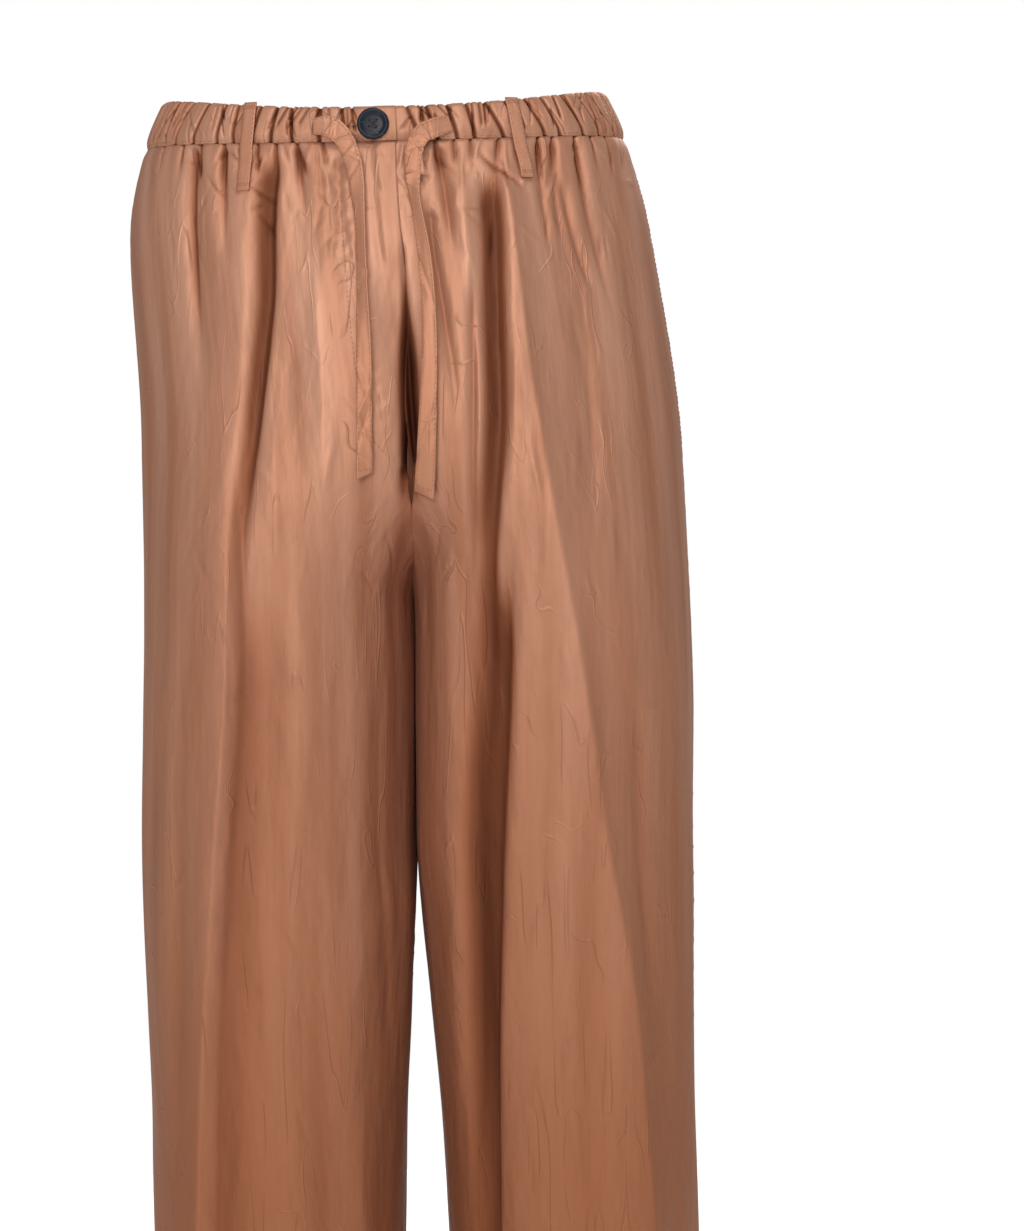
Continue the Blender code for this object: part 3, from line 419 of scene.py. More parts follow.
@dataclass
class TrouserForm:
    """The worn shape: sections, folds, gathers and creases, all in millimetres."""

    hem_z: float = -1020.0
    crotch_z: float = -290.0
    panel_top: float = -30.0
    band_top_side: float = 0.0
    band_top_front: float = -13.0
    band_top_back: float = 4.0
    band_low_side: float = -27.0
    band_low_front: float = -33.0
    band_low_back: float = -24.0
    band_puff: float = 1.4
    seam_pinch: float = 1.3
    thigh_turn: float = 0.07
    seam_turn: float = 1.3
    lap_reach: float = 8.0
    lap_tuck: float = 6.0
    lap_end: float = -190.0
    cloth_lift: float = 1.75
    band_lift: float = 2.5
    anchor_x: float = 60.0
    anchor_share: float = 0.30
    back_gather_count: int = 11
    back_gather_first: float = 9.0
    back_gather_last: float = 121.0
    groove_sharpness: float = 0.34
    # gather_shade, crease_shade, tuck_shade and band_shade weigh each hollow in the painted fold
    # shade.
    gather_shade: float = 2.1
    crease_shade: float = 2.2
    stitch_ripple: float = 0.34
    tuck_shade: float = 2.6
    band_shade: float = 1.3
    band_front_share: float = 0.68
    outline_points: int = 301
    crease_count: int = 34
    crinkle_count: int = 44
    tuck_count: int = 30
    side_tucks: int = 6
    gathers: dict = field(default_factory=dict)
    creases: dict = field(default_factory=dict)
    tucks: dict = field(default_factory=dict)

    def __post_init__(self) -> None:
        """Draw up the gathers and the small creases of every panel."""
        for half, turn in ((Half.LEFT, 0.4), (Half.RIGHT, 2.1)):
            self.gathers[(half, Face.FRONT)] = FRONT_GATHERS[half]
            self.gathers[(half, Face.BACK)] = self.back_gathers(turn)
        seed = random.Random(11)
        for key, rows in CREASES.items():
            made = [self.small_crease(seed) for _ in range(self.crease_count)]
            made += [self.seam_crinkle(seed) for _ in range(self.crinkle_count)]
            self.creases[key] = rows + tuple(made)
            pressed = [self.small_tuck(seed) for _ in range(self.tuck_count)]
            pressed += [self.side_tuck(place, seed) for place in range(self.side_tucks)]
            self.tucks[key] = tuple(pressed)

    def back_gathers(self, turn: float) -> tuple:
        """Grooves of one back half, each a little off the regular pitch.

        Args:
            turn: Phase that sets the two halves apart.

        Returns:
            The grooves.
        """
        made = []
        width = self.back_gather_last - self.back_gather_first
        for index in range(self.back_gather_count):
            share = index / (self.back_gather_count - 1)
            x_top = self.back_gather_first + width * math.sin(share * math.pi / 2)
            sway = 2.0 * math.sin(2.3 * index + turn)
            reach = 26.0 + 9.0 * math.sin(1.7 * index + turn)
            depth = 2.4 + 0.4 * math.sin(3.1 * index + turn)
            x_seam = 1.06 * x_top + sway
            made.append(Gather(x_top, x_seam, x_seam + 0.5 * sway, reach, depth, 3.0))
        return tuple(made)

    def small_crease(self, seed: random.Random) -> Crease:
        """One faint press crease at a place drawn from the seed.

        Args:
            seed: The seeded source of places and sizes.

        Returns:
            The crease.
        """
        depth = seed.choice((-1.0, 1.0)) * seed.uniform(0.25, 0.6)
        return Crease(
            seed.uniform(20.0, 142.0), seed.uniform(-980.0, -120.0), seed.uniform(18.0, 60.0),
            seed.gauss(0.0, 28.0), depth, seed.uniform(1.1, 2.2),
        )

    def seam_crinkle(self, seed: random.Random) -> Crease:
        """One short crinkle in the gathered cloth just under the band.

        Args:
            seed: The seeded source of places and sizes.

        Returns:
            The crinkle.
        """
        drop = seed.uniform(0.0, 1.0) ** 1.8
        height = seed.choice((-1.0, -1.0, 1.0)) * seed.uniform(0.7, 1.6) * (1.0 - 0.5 * drop)
        return Crease(
            seed.uniform(8.0, 138.0), -38.0 - 62.0 * drop, seed.uniform(12.0, 32.0),
            seed.gauss(0.0, 34.0), height, seed.uniform(0.8, 1.4),
        )

    def small_tuck(self, seed: random.Random) -> Tuck:
        """One short crease of the band at a place drawn from the seed.

        Args:
            seed: The seeded source of places and sizes.

        Returns:
            The tuck.
        """
        x = seed.uniform(14.0, 128.0)
        start = seed.choice((0.0, 0.0, seed.uniform(0.1, 0.5)))
        end = min(1.0, start + seed.uniform(0.35, 0.8))
        depth = seed.uniform(0.7, 2.0)
        return Tuck(x, x + seed.uniform(-7.0, 8.0), start, end, depth, seed.uniform(0.45, 0.8))

    def side_tuck(self, place: int, seed: random.Random) -> Tuck:
        """One full-height crease where the band rounds the side.

        Args:
            place: Its number, counted towards the side.
            seed: The seeded source of slants and sizes.

        Returns:
            The tuck.
        """
        share = (place + seed.uniform(0.2, 0.7)) / self.side_tucks
        x = 133.0 - 15.0 * (1.0 - share) ** 2
        end = x + seed.uniform(-1.2, 1.0)
        return Tuck(x, end, 0.0, 1.0, seed.uniform(1.6, 2.6), seed.uniform(0.8, 1.2))

    def tuck_height(self, tuck: Tuck, share: np.ndarray, row: Row) -> np.ndarray:
        """Depth of one short crease of the band.

        Args:
            tuck: The crease.
            share: Shares of the band's height, 0 at its upper edge.
            row: The row.

        Returns:
            Heights, not above 0.
        """
        t = (share - tuck.share_from) / (tuck.share_to - tuck.share_from)
        x = tuck.x_from + (tuck.x_to - tuck.x_from) * np.clip(t, 0.0, 1.0)
        place = np.interp(x, row.cut.x, row.cut.arc)
        fade_in = ease((t + 0.05) / 0.2) if tuck.share_from > 0.0 else np.ones_like(t)
        show = fade_in * ease((1.05 - t) / 0.3) * np.where((t > -0.05) & (t < 1.05), 1.0, 0.0)
        return -tuck.depth * show * bell(row.arc - place, tuck.flank, 1.5)

    def fly_valley(self, half: Half, row: Row) -> np.ndarray:
        """The deep fold beside the fly's edge and the hollow under its bar tack.

        Args:
            half: Left or right.
            row: The row.

        Returns:
            Heights, not above 0.
        """
        z, across = row.z, row.x * half.value
        wide = ease((-z - 92.0) / 50.0) * ease((z + 250.0) / 60.0)
        centre = np.interp(-z, (88.0, 122.0, 178.0, 215.0), (8.2, 6.0, 2.2, 1.4))
        flank = 1.3 + 3.1 * ease((-z - 112.0) / 55.0)
        deep = 2.6 + 6.4 * ease((-z - 104.0) / 60.0)
        show = ease((-z - 86.0) / 18.0) * ease((z + 224.0) / 12.0)
        under = ease((-z - 214.0) / 6.0) * ease((z + 244.0) / 18.0)
        height = -2.4 * wide * bell(across, 9.0)
        height = height - deep * show * bell(across - centre, flank, 2.4)
        return height - 4.0 * under * bell(across + 0.8, 4.6, 2.2)

    def oval(self, z: np.ndarray | float, theta: np.ndarray, face: Face) -> tuple:
        """Points of one half's oval.

        Args:
            z: Heights.
            theta: Angles, 0 at the front or back and 90 degrees at the side.
            face: Front or back.

        Returns:
            x and y.
        """
        side = along(LEVELS, "side", z)
        inner = along(LEVELS, "inner", z)
        power = 2.0 / along(LEVELS, "power", z)
        middle_y = along(DRIFTS, "side_y", z)
        reach_y = along(LEVELS, "front" if face is Face.FRONT else "back", z)
        sine = np.sin(theta)
        cosine = np.maximum(np.cos(theta), 0.0)
        x = 0.5 * (side + inner) + 0.5 * (side - inner) * np.sign(sine) * np.abs(sine) ** power
        return x, middle_y + (reach_y - middle_y) * cosine ** power

    def start_angle(self, z: float, edge: float) -> float:
        """Angle where the oval meets the line x = edge, or its innermost point.

        Args:
            z: Height.
            edge: The centre edge's x.

        Returns:
            The angle in radians.
        """
        side = float(along(LEVELS, "side", z))
        inner = float(along(LEVELS, "inner", z))
        power = float(along(LEVELS, "power", z))
        share = (edge - 0.5 * (side + inner)) / (0.5 * (side - inner))
        if share <= -1.0:
            return -math.pi / 2
        return math.asin(math.copysign(abs(share) ** (power / 2.0), share))

    def centre_edge(self, half: Half, face: Face, z: float) -> float:
        """The centre edge of a front or back in the half's own x.

        Args:
            half: Left or right.
            face: Front or back.
            z: Height.

        Returns:
            The edge's x, or far inside where the leg is a whole tube.
        """
        if z <= self.crotch_z:
            return FAR_INSIDE
        turned_in = self.seam_turn * float(ease((-z - 130.0) / 60.0))
        if face is Face.BACK:
            return -turned_in
        reach = self.lap_reach * float(1.0 - ease((-z - 95.0) / 95.0))
        if half is Half.RIGHT:
            return -reach - turned_in
        return reach - self.lap_tuck * float(1.0 - ease((-z - 60.0) / 28.0)) - turned_in

    def section(self, face: Face, z: float, edge: float) -> Section:
        """The section from the centre edge to the side seam.

        Args:
            face: Front or back.
            z: Height.
            edge: The centre edge's x.

        Returns:
            The outline.
        """
        theta = np.linspace(self.start_angle(z, edge), math.pi / 2, self.outline_points)
        x, y = self.oval(z, theta, face)
        step_x = np.gradient(x)
        step_y = np.gradient(y)
        size = np.hypot(step_x, step_y) + 1e-12
        out_x = -face.value * step_y / size
        out_y = face.value * step_x / size
        out_x[-1], out_y[-1] = 1.0, 0.0
        if edge == FAR_INSIDE:
            out_x[0], out_y[0] = -1.0, 0.0
        arc = np.concatenate(([0.0], np.cumsum(np.hypot(np.diff(x), np.diff(y)))))
        return Section(theta, x, y, arc, out_x, out_y)

    def fold_height(self, fold: Fold, level: float, row: Row) -> np.ndarray:
        """Height of one fold across a row.

        Args:
            fold: The fold.
            level: The row's mean height.
            row: The row.

        Returns:
            Heights along the row.
        """
        top, low = fold.path[0][0], fold.path[-1][0]
        if level > top or level < low:
            return np.zeros_like(row.arc)
        knots = np.array(fold.path)[::-1]
        x = float(smooth_curve(knots[:, 0], knots[:, 1], level))
        show = float(ease((top - level) / fold.fade_top) * ease((level - low) / fold.fade_low))
        offset = row.arc - np.interp(x, row.cut.x, row.cut.arc)
        flank = np.where(offset < 0.0, fold.flank_in, fold.flank_out)
        return fold.rise * show * bell(offset, flank, fold.point)

    def gather_height(self, gather: Gather, row: Row) -> np.ndarray:
        """Depth of one gather, narrow in the band and wider as it dies out below.

        Args:
            gather: The gather.
            row: The row.

        Returns:
            Heights, not above 0.
        """
        in_band = np.clip((row.top - row.z) / np.maximum(row.top - row.low, 1.0), 0.0, 1.0)
        below = np.clip((row.low - row.z) / gather.reach, 0.0, 1.0)
        x = gather.x_top + (gather.x_seam - gather.x_top) * in_band
        x = x + (gather.x_low - gather.x_seam) * below
        place = np.interp(x, row.cut.x, row.cut.arc)
        wider = self.groove_sharpness + 0.55 * below
        flank = gather.flank * np.where(row.z > row.low, self.groove_sharpness, wider)
        return -1.1 * gather.depth * (1.0 - ease(below)) * bell(row.arc - place, flank, 1.5)

    def band_edges(self, theta: np.ndarray, face: Face) -> tuple:
        """Heights of the band's upper and lower edge round the waist.

        Args:
            theta: Angles.
            face: Front or back.

        Returns:
            Upper and lower heights.
        """
        share = np.cos(theta) ** 2
        end_top = self.band_top_front if face is Face.FRONT else self.band_top_back
        end_low = self.band_low_front if face is Face.FRONT else self.band_low_back
        top = self.band_top_side + (end_top - self.band_top_side) * share
        return top, self.band_low_side + (end_low - self.band_low_side) * share

    def crease_height(self, crease: Crease, level: float, row: Row) -> np.ndarray:
        """Height of one short crease across a row.

        Args:
            crease: The crease.
            level: The row's mean height.
            row: The row.

        Returns:
            Heights along the row.
        """
        if abs(level - crease.z) > crease.length:
            return np.zeros_like(row.arc)
        turn = math.radians(crease.turn)
        across = row.arc - np.interp(crease.x, row.cut.x, row.cut.arc)
        up = row.z - crease.z
        run = across * math.sin(turn) + up * math.cos(turn)
        off = across * math.cos(turn) - up * math.sin(turn)
        off = off + 1.2 * np.sin(run / crease.length * 5.0)
        show = 1.0 - ease(np.abs(run) / (0.5 * crease.length))
        return crease.height * show * bell(off, crease.width)

    def wander(self, z: np.ndarray, arc: np.ndarray, turn: float) -> np.ndarray:
        """Soft uneven swell of the hanging satin, longer up and down than across.

        Args:
            z: Heights.
            arc: Cloth lengths.
            turn: Phase that sets the panels apart.

        Returns:
            Heights of about half a millimetre.
        """
        a = np.sin(arc / 9.5 + 1.3 * np.sin(z / 71.0 + turn) + turn)
        b = np.sin(arc / 5.7 - 1.1 * np.sin(z / 43.0 - turn) + 2.0 * turn)
        c = np.sin(arc / 17.0 + z / 130.0 + 3.0 * turn)
        d = np.sin(z / 17.0 + 2.0 * np.sin(arc / 21.0) + turn)
        return 0.42 * a + 0.24 * b + 0.60 * c + 0.10 * d

    def pucker(
        self, z: np.ndarray, distance: np.ndarray, strength: np.ndarray | float,
    ) -> np.ndarray:
        """Small ripples that a seam's thread draws in the cloth beside it.

        Args:
            z: Heights.
            distance: Distances from the seam.
            strength: Height of the ripples.

        Returns:
            Heights of the ripples and the seam's own dip.
        """
        wave = np.sin(z / 1.45 + 1.7 * np.sin(z / 9.0))
        wave = wave + 0.7 * np.sin(z / 2.6 + 1.1 * np.sin(z / 14.0))
        return 0.5 * strength * wave * bell(distance, 6.5) + -0.55 * bell(distance, 0.9)

    def stitch_pucker(self, row: Row) -> np.ndarray:
        """Ripples and dip beside the curved stitch line of the fly.

        Args:
            row: The row.

        Returns:
            Heights along the row.
        """
        spots = np.array(FLY_STITCH)[::-1]
        off = row.x + np.interp(row.z, spots[:, 1], spots[:, 0])
        wave = np.sin(row.z / 1.35 + off / 2.2) + 0.6 * np.sin(row.z / 2.5 - off / 3.0)
        return self.stitch_ripple * wave * bell(off, 4.2) + -0.5 * bell(off, 0.9)

    def relief(
        self, half: Half, face: Face, z: np.ndarray, arc: np.ndarray, x: np.ndarray,
        theta: np.ndarray, cut: Section,
    ) -> tuple:
        """How far the cloth's outside stands from the plain section.

        Args:
            half: Left or right.
            face: Front or back.
            z: Heights along the row.
            arc: Cloth lengths.
            x: Own x along the row.
            theta: Angles.
            cut: The row's outline.

        Returns:
            Heights in millimetres, and the weighted hollow that sets the painted fold shade.
        """
        top, low = self.band_edges(theta, face)
        row = Row(z, arc, x, top, low, cut)
        level = float(np.mean(z))
        to_side = cut.arc[-1] - arc
        lapping = half is Half.RIGHT and face is Face.FRONT
        # Painted shade: the hollow part of each form below is summed and later darkens the satin
        # colour, most of all in the fly valley.
        relief = Relief(np.zeros_like(arc), np.zeros_like(arc))
        for fold in FOLDS[(half, face)]:
            relief.add(self.fold_height(fold, level, row))
        relief.fade(1.0 - ease((z - low + 6.0) / 6.0))
        turn = 1.0 + 0.9 * half.value + 0.4 * face.value
        anchor = float(np.interp(self.anchor_x, cut.x, cut.arc))
        below = 0.35 + 0.65 * ease((low - z) / 60.0)
        relief.height = relief.height + self.wander(z, arc - anchor, turn) * below
        for gather in self.gathers[(half, face)]:
            relief.add(self.gather_height(gather, row), self.gather_shade)
        on_lap = lapping and level > self.lap_end
        relief.fade(ease((x - 3.0) / 11.0) if on_lap else ease((arc - 1.0) / 12.0))
        relief.fade(ease((to_side - 1.0) / 13.0))
        for crease in self.creases[(half, face)]:
            rise = self.crease_height(crease, level, row) * ease(to_side / 6.0)
            relief.add(rise, self.crease_shade)
        in_band = np.clip((z - low) / np.maximum(top - low, 1.0), 0.0, 1.0)
        if level > self.band_low_front - 3.0:
            shown = np.where(z > low, 1.0, 0.0)
            for tuck in self.tucks[(half, face)]:
                rise = self.tuck_height(tuck, 1.0 - in_band, row) * shown
                relief.add(rise * ease(to_side / 3.0), self.tuck_shade)
        height = relief.height + self.band_puff * np.sin(math.pi * in_band) ** 0.7
        relief.height = height - self.seam_pinch * bell(z - low, 3.2)
        if face is Face.FRONT:
            relief.add(self.fly_valley(half, row))
        height = relief.height
        outside = ease((low - z) / 8.0)
        strong = 0.22 + 0.50 * ease((-z - 340.0) / 30.0) * ease((z + 530.0) / 60.0)
        height = height + self.pucker(z, to_side, strong) * outside
        if level < self.lap_end or face is Face.BACK:
            strong = 0.26 + 0.5 * ease((-z - 470.0) / 20.0) * ease((z + 530.0) / 30.0)
            height = height + self.pucker(z + 5.0, arc, strong) * outside
        if lapping and self.lap_end - 6.0 < level < self.band_low_front - 1.0:
            height = height + self.stitch_pucker(row) * outside
        return height, relief.fold_shade_depth

    def lap_height(self, x: np.ndarray, z: np.ndarray, full: float) -> np.ndarray:
        """Lift of the lapping front near its edge, over the other front.

        Args:
            x: Own x of the lapping half.
            z: Heights.
            full: The whole lift.

        Returns:
            Heights in millimetres.
        """
        show = 1.0 - ease((-z - 92.0) / 24.0)
        return full * show * ease((6.0 - x) / 5.0)

    def spread(self, cut: Section, shares: np.ndarray) -> np.ndarray:
        """Cloth lengths for column shares, a fixed share of them inside the anchor line.

        Args:
            cut: The row's outline.
            shares: Column shares from 0 at the centre to 1 at the side.

        Returns:
            Cloth lengths.
        """
        anchor = float(np.interp(self.anchor_x, cut.x, cut.arc))
        inside = anchor * shares / self.anchor_share
        beyond = (cut.arc[-1] - anchor) * (shares - self.anchor_share) / (1.0 - self.anchor_share)
        return np.where(shares < self.anchor_share, inside, anchor + beyond)

    def panel_row(
        self, half: Half, face: Face, level: float, shares: np.ndarray, inward: float,
    ) -> tuple:
        """One row of a panel.

        Args:
            half: Left or right.
            face: Front or back.
            level: The row's nominal height.
            shares: Column shares.
            inward: Distance behind the cloth's outside.

        Returns:
            Points in metres, cloth lengths in metres and the depth of painted fold shade in
            millimetres.
        """
        edge = self.centre_edge(half, face, level)
        cut = self.section(face, level, edge)
        arc = self.spread(cut, shares)
        theta = np.interp(arc, cut.arc, cut.theta)
        low = self.band_edges(theta, face)[1]
        rise = 1.0 - ease((self.panel_top - level) / 80.0)
        z = np.maximum(level + (low - self.panel_top) * rise, self.hem_z)
        x, y = self.oval(z, theta, face)
        drift = np.interp(theta, cut.theta, self.oval(level, cut.theta, face)[0])
        x = x + np.interp(arc, cut.arc, cut.x) - drift
        relief, fold_shade_depth = self.relief(half, face, z, arc, x, theta, cut)
        if half is Half.RIGHT and face is Face.FRONT:
            relief = relief + self.lap_height(x, z, self.cloth_lift)
        height = relief - inward
        px = half.value * (x + height * np.interp(arc, cut.arc, cut.out_x))
        px = px + along(DRIFTS, "lean", z)
        py = y + height * np.interp(arc, cut.arc, cut.out_y)
        touching = ease((-z - 262.0) / 26.0) * (1.0 - ease((-z - 425.0) / 50.0))
        px = px + self.thigh_turn * py * touching * bell(x, 22.0)
        anchor = float(np.interp(self.anchor_x, cut.x, cut.arc))
        return np.stack([px, py, z], axis=-1) * MM, (arc - anchor + 200.0) * MM, fold_shade_depth

    def band_end(self, half: Half) -> float:
        """Front end of a band half in the half's own x."""
        return -self.lap_reach if half is Half.RIGHT else self.lap_reach - self.lap_tuck

    def band_row(self, half: Half, share_up: float, shares: np.ndarray, inward: float) -> tuple:
        """One row of a band half, from its front end to the centre back.

        Args:
            half: Left or right.
            share_up: 0 at the upper edge and 1 at the seam.
            shares: Column shares.
            inward: Distance behind the outside.

        Returns:
            Points in metres, cloth lengths in metres and the depth of painted fold shade in
            millimetres.
        """
        level = 0.5 * (self.band_low_side + self.band_top_side)
        front = self.section(Face.FRONT, level, self.band_end(half))
        rear = self.section(Face.BACK, level, 0.0)
        total = front.arc[-1] + rear.arc[-1]
        front_share = self.band_front_share
        run = np.where(
            shares < front_share, front.arc[-1] * shares / front_share,
            front.arc[-1] + rear.arc[-1] * (shares - front_share) / (1.0 - front_share),
        )
        points = np.zeros((len(run), 3))
        shade_depths = np.zeros(len(run))
        for face, cut in ((Face.FRONT, front), (Face.BACK, rear)):
            chosen = run <= front.arc[-1] if face is Face.FRONT else run > front.arc[-1]
            arc = run[chosen] if face is Face.FRONT else total - run[chosen]
            theta = np.interp(arc, cut.arc, cut.theta)
            top, low = self.band_edges(theta, face)
            z = low + (top - low) * (1.0 - share_up)
            x, y = self.oval(z, theta, face)
            relief, fold_shade_depth = self.relief(half, face, z, arc, x, theta, cut)
            if half is Half.RIGHT and face is Face.FRONT:
                relief = relief + self.lap_height(x, z, self.band_lift)
            scallop = 0.28 * np.minimum(relief, 0.0) * (1.0 - share_up) ** 2
            height = relief - inward
            px = half.value * (x + height * np.interp(arc, cut.arc, cut.out_x))
            py = y + height * np.interp(arc, cut.arc, cut.out_y)
            points[chosen] = np.stack([px, py, z + scallop], axis=-1)
            # Painted shade: the band's hollows are weighted here before they darken its colour.
            shade_depths[chosen] = self.band_shade * fold_shade_depth
        return points * MM, run * MM, shade_depths

    def skin(self, x: float, z: float, face: Face) -> tuple:
        """The garment's outside at a world x and height.

        Args:
            x: World x in millimetres.
            z: Height in millimetres.
            face: Front or back.

        Returns:
            Base point, outward direction and relief, in millimetres.
        """
        lean = float(along(DRIFTS, "lean", z))
        half = Half.LEFT if x - lean >= 0.0 else Half.RIGHT
        own = abs(x - lean)
        cut = self.section(face, z, 0.0 if z > self.crotch_z else FAR_INSIDE)
        arc = np.array([np.interp(own, cut.x, cut.arc)])
        theta = np.interp(arc, cut.arc, cut.theta)
        tall = np.array([z])
        height = self.relief(half, face, tall, arc, np.array([own]), theta, cut)[0]
        if face is Face.FRONT and (half is Half.RIGHT or own < self.lap_reach):
            lift = self.band_lift if z > self.band_edges(theta, face)[1][0] else self.cloth_lift
            lapped = np.array([own if half is Half.RIGHT else -own])
            height = height + self.lap_height(lapped, tall, lift)
        base = Vector((x, float(np.interp(arc, cut.arc, cut.y)[0]), z))
        out_x = half.value * float(np.interp(arc, cut.arc, cut.out_x)[0])
        out = Vector((out_x, float(np.interp(arc, cut.arc, cut.out_y)[0]), 0.0))
        return base, out, float(height[0])

    def outer_skin(self, x: float, z: float, face: Face, reach: float) -> tuple:
        """As skin(), with the highest relief within reach.

        Args:
            x: World x in millimetres.
            z: Height in millimetres.
            face: Front or back.
            reach: How far to look, in millimetres.

        Returns:
            Base point, outward direction and highest relief, in millimetres.
        """
        base, out, height = self.skin(x, z, face)
        for step_x in (-1.0, -0.5, 0.0, 0.5, 1.0):
            for step_z in (-1.0, 0.0, 1.0):
                height = max(height, self.skin(x + step_x * reach, z + step_z * reach, face)[2])
        return base, out, height

    def on_skin(self, x: float, z: float, face: Face, lift: float) -> Vector:
        """Point just off the cloth.

        Args:
            x: World x in millimetres.
            z: Height in millimetres.
            face: Front or back.
            lift: Distance off the cloth in millimetres.

        Returns:
            The point in metres.
        """
        base, out, height = self.skin(x, z, face)
        return (base + out * (height + lift)) * MM


class NodeBoard:
    """Small helper that places and links shader nodes."""

    def __init__(self, tree: bpy.types.NodeTree) -> None:
        """Keep the node tree."""
        self.tree = tree

    def add(self, kind: str, **values: object) -> bpy.types.Node:
        """Add a node.

        Args:
            kind: The node's type.
            values: Properties to set on it.

        Returns:
            The node.
        """
        node = self.tree.nodes.new(kind)
        for name, value in values.items():
            setattr(node, name, value)
        return node

    def link(self, source: bpy.types.NodeSocket, target: bpy.types.NodeSocket) -> None:
        """Link two sockets."""
        self.tree.links.new(source, target)

    def fill(self, node: bpy.types.Node, values: dict) -> None:
        """Give a node's inputs, by name or number, a socket or a value.

        Args:
            node: The node.
            values: What goes in each input.
        """
        for key, value in values.items():
            if isinstance(value, bpy.types.NodeSocket):
                self.link(value, node.inputs[key])
            else:
                node.inputs[key].default_value = value

    def maths(self, operation: str, first: object, second: object = 0.5) -> bpy.types.NodeSocket:
        """Add a Math node.

        Args:
            operation: Its operation.
            first: A socket or a number.
            second: A socket or a number.

        Returns:
            Its output.
        """
        node = self.add("ShaderNodeMath", operation=operation)
        self.fill(node, {0: first, 1: second})
        return node.outputs[0]

    def blend(self, share: object, first: object, second: object) -> bpy.types.NodeSocket:
        """Mix two colours.

        Args:
            share: A socket or a number.
            first: Colour socket or value at share 0.
            second: Colour socket or value at share 1.

        Returns:
            The mixed colour.
        """
        node = self.add("ShaderNodeMix", data_type="RGBA")
        self.fill(node, {0: share, 6: first, 7: second})
        return node.outputs[2]

    def noise(
        self, vector: bpy.types.NodeSocket, scale: Sequence[float], detail: float,
    ) -> bpy.types.NodeSocket:
        """Stretched noise.

        Args:
            vector: Coordinates.
            scale: Scale along each axis.
            detail: The noise's detail.

        Returns:
            Its factor.
        """
        mapping = self.add("ShaderNodeMapping")
        self.fill(mapping, {"Scale": tuple(scale), "Vector": vector})
        node = self.add("ShaderNodeTexNoise")
        self.fill(node, {"Scale": 1.0, "Detail": detail, "Vector": mapping.outputs["Vector"]})
        return node.outputs["Fac"]

    def crease_lines(
        self, vector: bpy.types.NodeSocket, scale: Sequence[float], width: float,
    ) -> bpy.types.NodeSocket:
        """Fine wandering creases, 1 on the lines and 0 between them.

        Args:
            vector: Coordinates.
            scale: Swings a metre along each axis.
            width: Width of a line as a share of the noise's range.

        Returns:
            The lines.
        """
        swing = self.noise(vector, scale, 1.0)
        off = self.maths("ABSOLUTE", self.maths("SUBTRACT", swing, 0.5))
        return self.band_pass(off, 0.0, width, 1.0, 0.0)

    def band_pass(
        self, value: bpy.types.NodeSocket, low: float, high: float, to_low: float, to_high: float,
    ) -> bpy.types.NodeSocket:
        """Map a value to another range, clamped.

        Args:
            value: The value.
            low: Its lower limit.
            high: Its upper limit.
            to_low: Result at the lower limit.
            to_high: Result at the upper limit.

        Returns:
            The mapped value.
        """
        node = self.add("ShaderNodeMapRange")
        limits = {"From Min": low, "From Max": high, "To Min": to_low, "To Max": to_high}
        self.fill(node, {**limits, "Value": value})
        return node.outputs["Result"]


def rgba(colour: Sequence[float]) -> tuple:
    """Colour with full alpha."""
    return (*colour, 1.0)


def new_finish(name: str) -> tuple:
    """Start a material.

    Args:
        name: Its name.

    Returns:
        The material, its board, its shader and its texture coordinates.
    """
    material = bpy.data.materials.new(name)
    material.use_nodes = True
    board = NodeBoard(material.node_tree)
    coords = board.add("ShaderNodeTexCoord")
    return material, board, material.node_tree.nodes["Principled BSDF"], coords


@dataclass(frozen=True)
class SatinPattern:
    """Scales of the satin's marks in swings a metre, and how strong they are."""

    streak: tuple = (520.0, 40.0, 1.0)
    slub: tuple = (90.0, 900.0, 1.0)
    cloud: tuple = (9.0, 9.0, 4.0)
    painted_sheen: tuple = (64.0, 3.4, 1.0)
    steep_crease: tuple = (88.0, 88.0, 8.0)
    steep_width: float = 0.016
    steep_patch: tuple = (40.0, 40.0, 16.0)
    slant_crease: tuple = (44.0, 44.0, 30.0)
    slant_width: float = 0.014
    slant_patch: tuple = (30.0, 30.0, 26.0)
    swell: tuple = (52.0, 52.0, 15.0)
    swell_height: float = 2.3
    crumple: tuple = (135.0, 135.0, 52.0)
    crumple_height: float = 0.55
    # The painted light falloff runs from the first height to the second; then the shares of random
    # tone, painted sheen bands, painted fold shade and fibre streaks.
    shade_falloff_top: float = -0.12
    tone_low: float = -0.62
    cloud_share: float = 0.22
    painted_sheen_share: float = 0.62
    shade_share: float = 0.92
    fibre_share: float = 0.05


